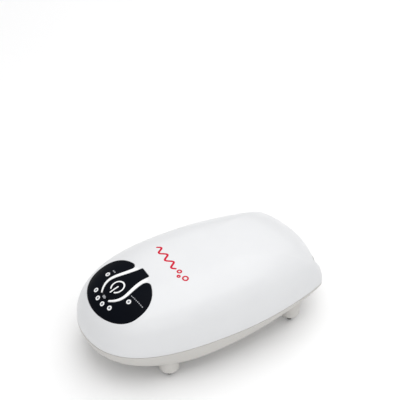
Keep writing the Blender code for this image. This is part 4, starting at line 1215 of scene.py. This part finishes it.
def filter_cover():
    """The slotted round cover over the felt, set into the belly."""
    place, axis = belly_axis()
    profile = [(0, COVER_THICKNESS), (COVER_RADIUS, COVER_THICKNESS)]
    profile += arc((COVER_RADIUS - COVER_ROUND, COVER_ROUND), (COVER_ROUND, COVER_ROUND), 0, -90, 4)
    profile += [(0, 0)]
    cover = turned("filter_cover_disc", profile, place=place, axis=axis, segments=96)
    tilt = Matrix.Translation(place) @ facing(axis).to_4x4()
    for step in range(-3, 4):
        y = step * SLOT_PITCH
        reach = sqrt(SLOT_REACH**2 - y**2)
        low = (-reach, y - SLOT_HALF_WIDTH, -2 * MM)
        high = (reach, y + SLOT_HALF_WIDTH, 3 * MM)
        slot = box("slot", low, high, 0.55 * MM, 3)
        slot.data.transform(tilt)
        cut(cover, slot)
    dress(cover, "ivory_tray", replaces=("filter_cover",))


def diaphragm_profile(near, far, rim):
    """The middle disc, one rolled fold, the rim clamped on the chamber, and the fold's inner face."""
    face = near + SKIN
    profile = [(0, face), (DISC_RADIUS, face)]
    profile += arc((5.9 * MM, face), (1.6 * MM, SKIN), 180, 90, 8)
    profile += [(CLAMP_RADIUS, face + SKIN), (CLAMP_RADIUS, far), (rim, far), (rim, face)]
    profile.append((CLAMP_RADIUS - SKIN, face))
    profile += arc((4.6 * MM, face), (1.5 * MM, SKIN), -10, -90, 8)
    return profile + [(0, near)]


def diaphragms():
    """Rubber diaphragms, each turned in one piece: a middle disc, a rolled fold and a rim clamped on the
    chamber.
    """
    for side, hand in ((-1, "left"), (1, "right")):
        node = f"diaphragm_{hand}"
        low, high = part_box(node)
        centre = (low + high) / 2
        near, far = sorted((abs(low.x), abs(high.x)))
        profile = diaphragm_profile(near, far, high.z - centre.z)
        rubber = turned(f"{node}_rubber", profile, (0, centre.y, centre.z), (side, 0, 0), 72)
        rubber.data.materials.append(LOOKS["black_rubber"])
        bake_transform(rubber)
        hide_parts(node)


def carried_over():
    """Give every CAD node that stays its procedural material."""
    for entry in frame["record"]["subparts"]:
        node = frame["nodes"][entry["node"]]
        look = LOOKS[entry["material_slot"]]
        if node.material_slots:
            node.material_slots[0].material = look
        else:
            node.data.materials.append(look)


# ---- Stage ----
FLOOR_HALF_SIZE = 3.0
SKY = 0.55
LIGHTS = (
    ("overhead", (0.0, 0.15, 1.1), (0, 0, 0), 1.2, 6.5),
    ("rear_fill", (-0.7, 0.6, 0.7), (0, 0, 0.02), 0.8, 1.5),
    ("side_fill", (0.85, -0.32, 0.95), (0, 0, 0.02), 1.2, 4.2),
)
CAMERA_TARGET = Vector((-7.3, 5.2, 90.8)) * MM
CAMERA_AZIMUTH = radians(60.45)
CAMERA_ELEVATION = radians(37.8)
CAMERA_DISTANCE = 0.697
CAMERA_LENS = 103.8


def floor():
    shape = bmesh.new()
    bmesh.ops.create_grid(shape, x_segments=8, y_segments=8, size=FLOOR_HALF_SIZE)
    mesh = meshed("floor", shape)
    plane = shown("floor", mesh)
    look = Look("floor_pale", (0.95, 0.95, 0.95), 0.6)
    look.tint(look.noise(3, 3), (0.94, 0.94, 0.942), 1.0)
    mesh.materials.append(look.material)


def placed(name, data, place, ahead):
    """A light or camera at a place, looking ahead."""
    item = shown(name, data)
    item.location = place
    item.rotation_euler = ahead.to_track_quat("-Z", "Y").to_euler()
    return item


def studio():
    """A bright even sky and three soft square lights."""
    world = bpy.data.worlds.new("studio")
    bpy.context.scene.world = world
    world.use_nodes = True
    background = world.node_tree.nodes["Background"]
    background.inputs["Color"].default_value = (1, 1, 1, 1)
    background.inputs["Strength"].default_value = SKY
    for name, place, target, size, power in LIGHTS:
        light = bpy.data.lights.new(name, "AREA")
        light.shape = "SQUARE"
        light.size = size
        light.energy = power
        placed(name, light, place, Vector(target) - Vector(place))
    bpy.context.scene.view_settings.view_transform = "Standard"


def camera():
    data = bpy.data.cameras.new("view")
    data.lens = CAMERA_LENS
    level = cos(CAMERA_ELEVATION)
    back = Vector((
        sin(CAMERA_AZIMUTH) * level,
        -cos(CAMERA_AZIMUTH) * level,
        sin(CAMERA_ELEVATION),
    ))
    bpy.context.scene.camera = placed("view", data, CAMERA_TARGET + back * CAMERA_DISTANCE, -back)


carried_over()
upper_shell()
lower_shell()
control_panel()
power_key()
power_symbol()
ridges()
lenses()
printed_marks()
foot_pads()
outlet_nozzles()
charge_socket()
filter_cover()
diaphragms()
floor()
studio()
camera()
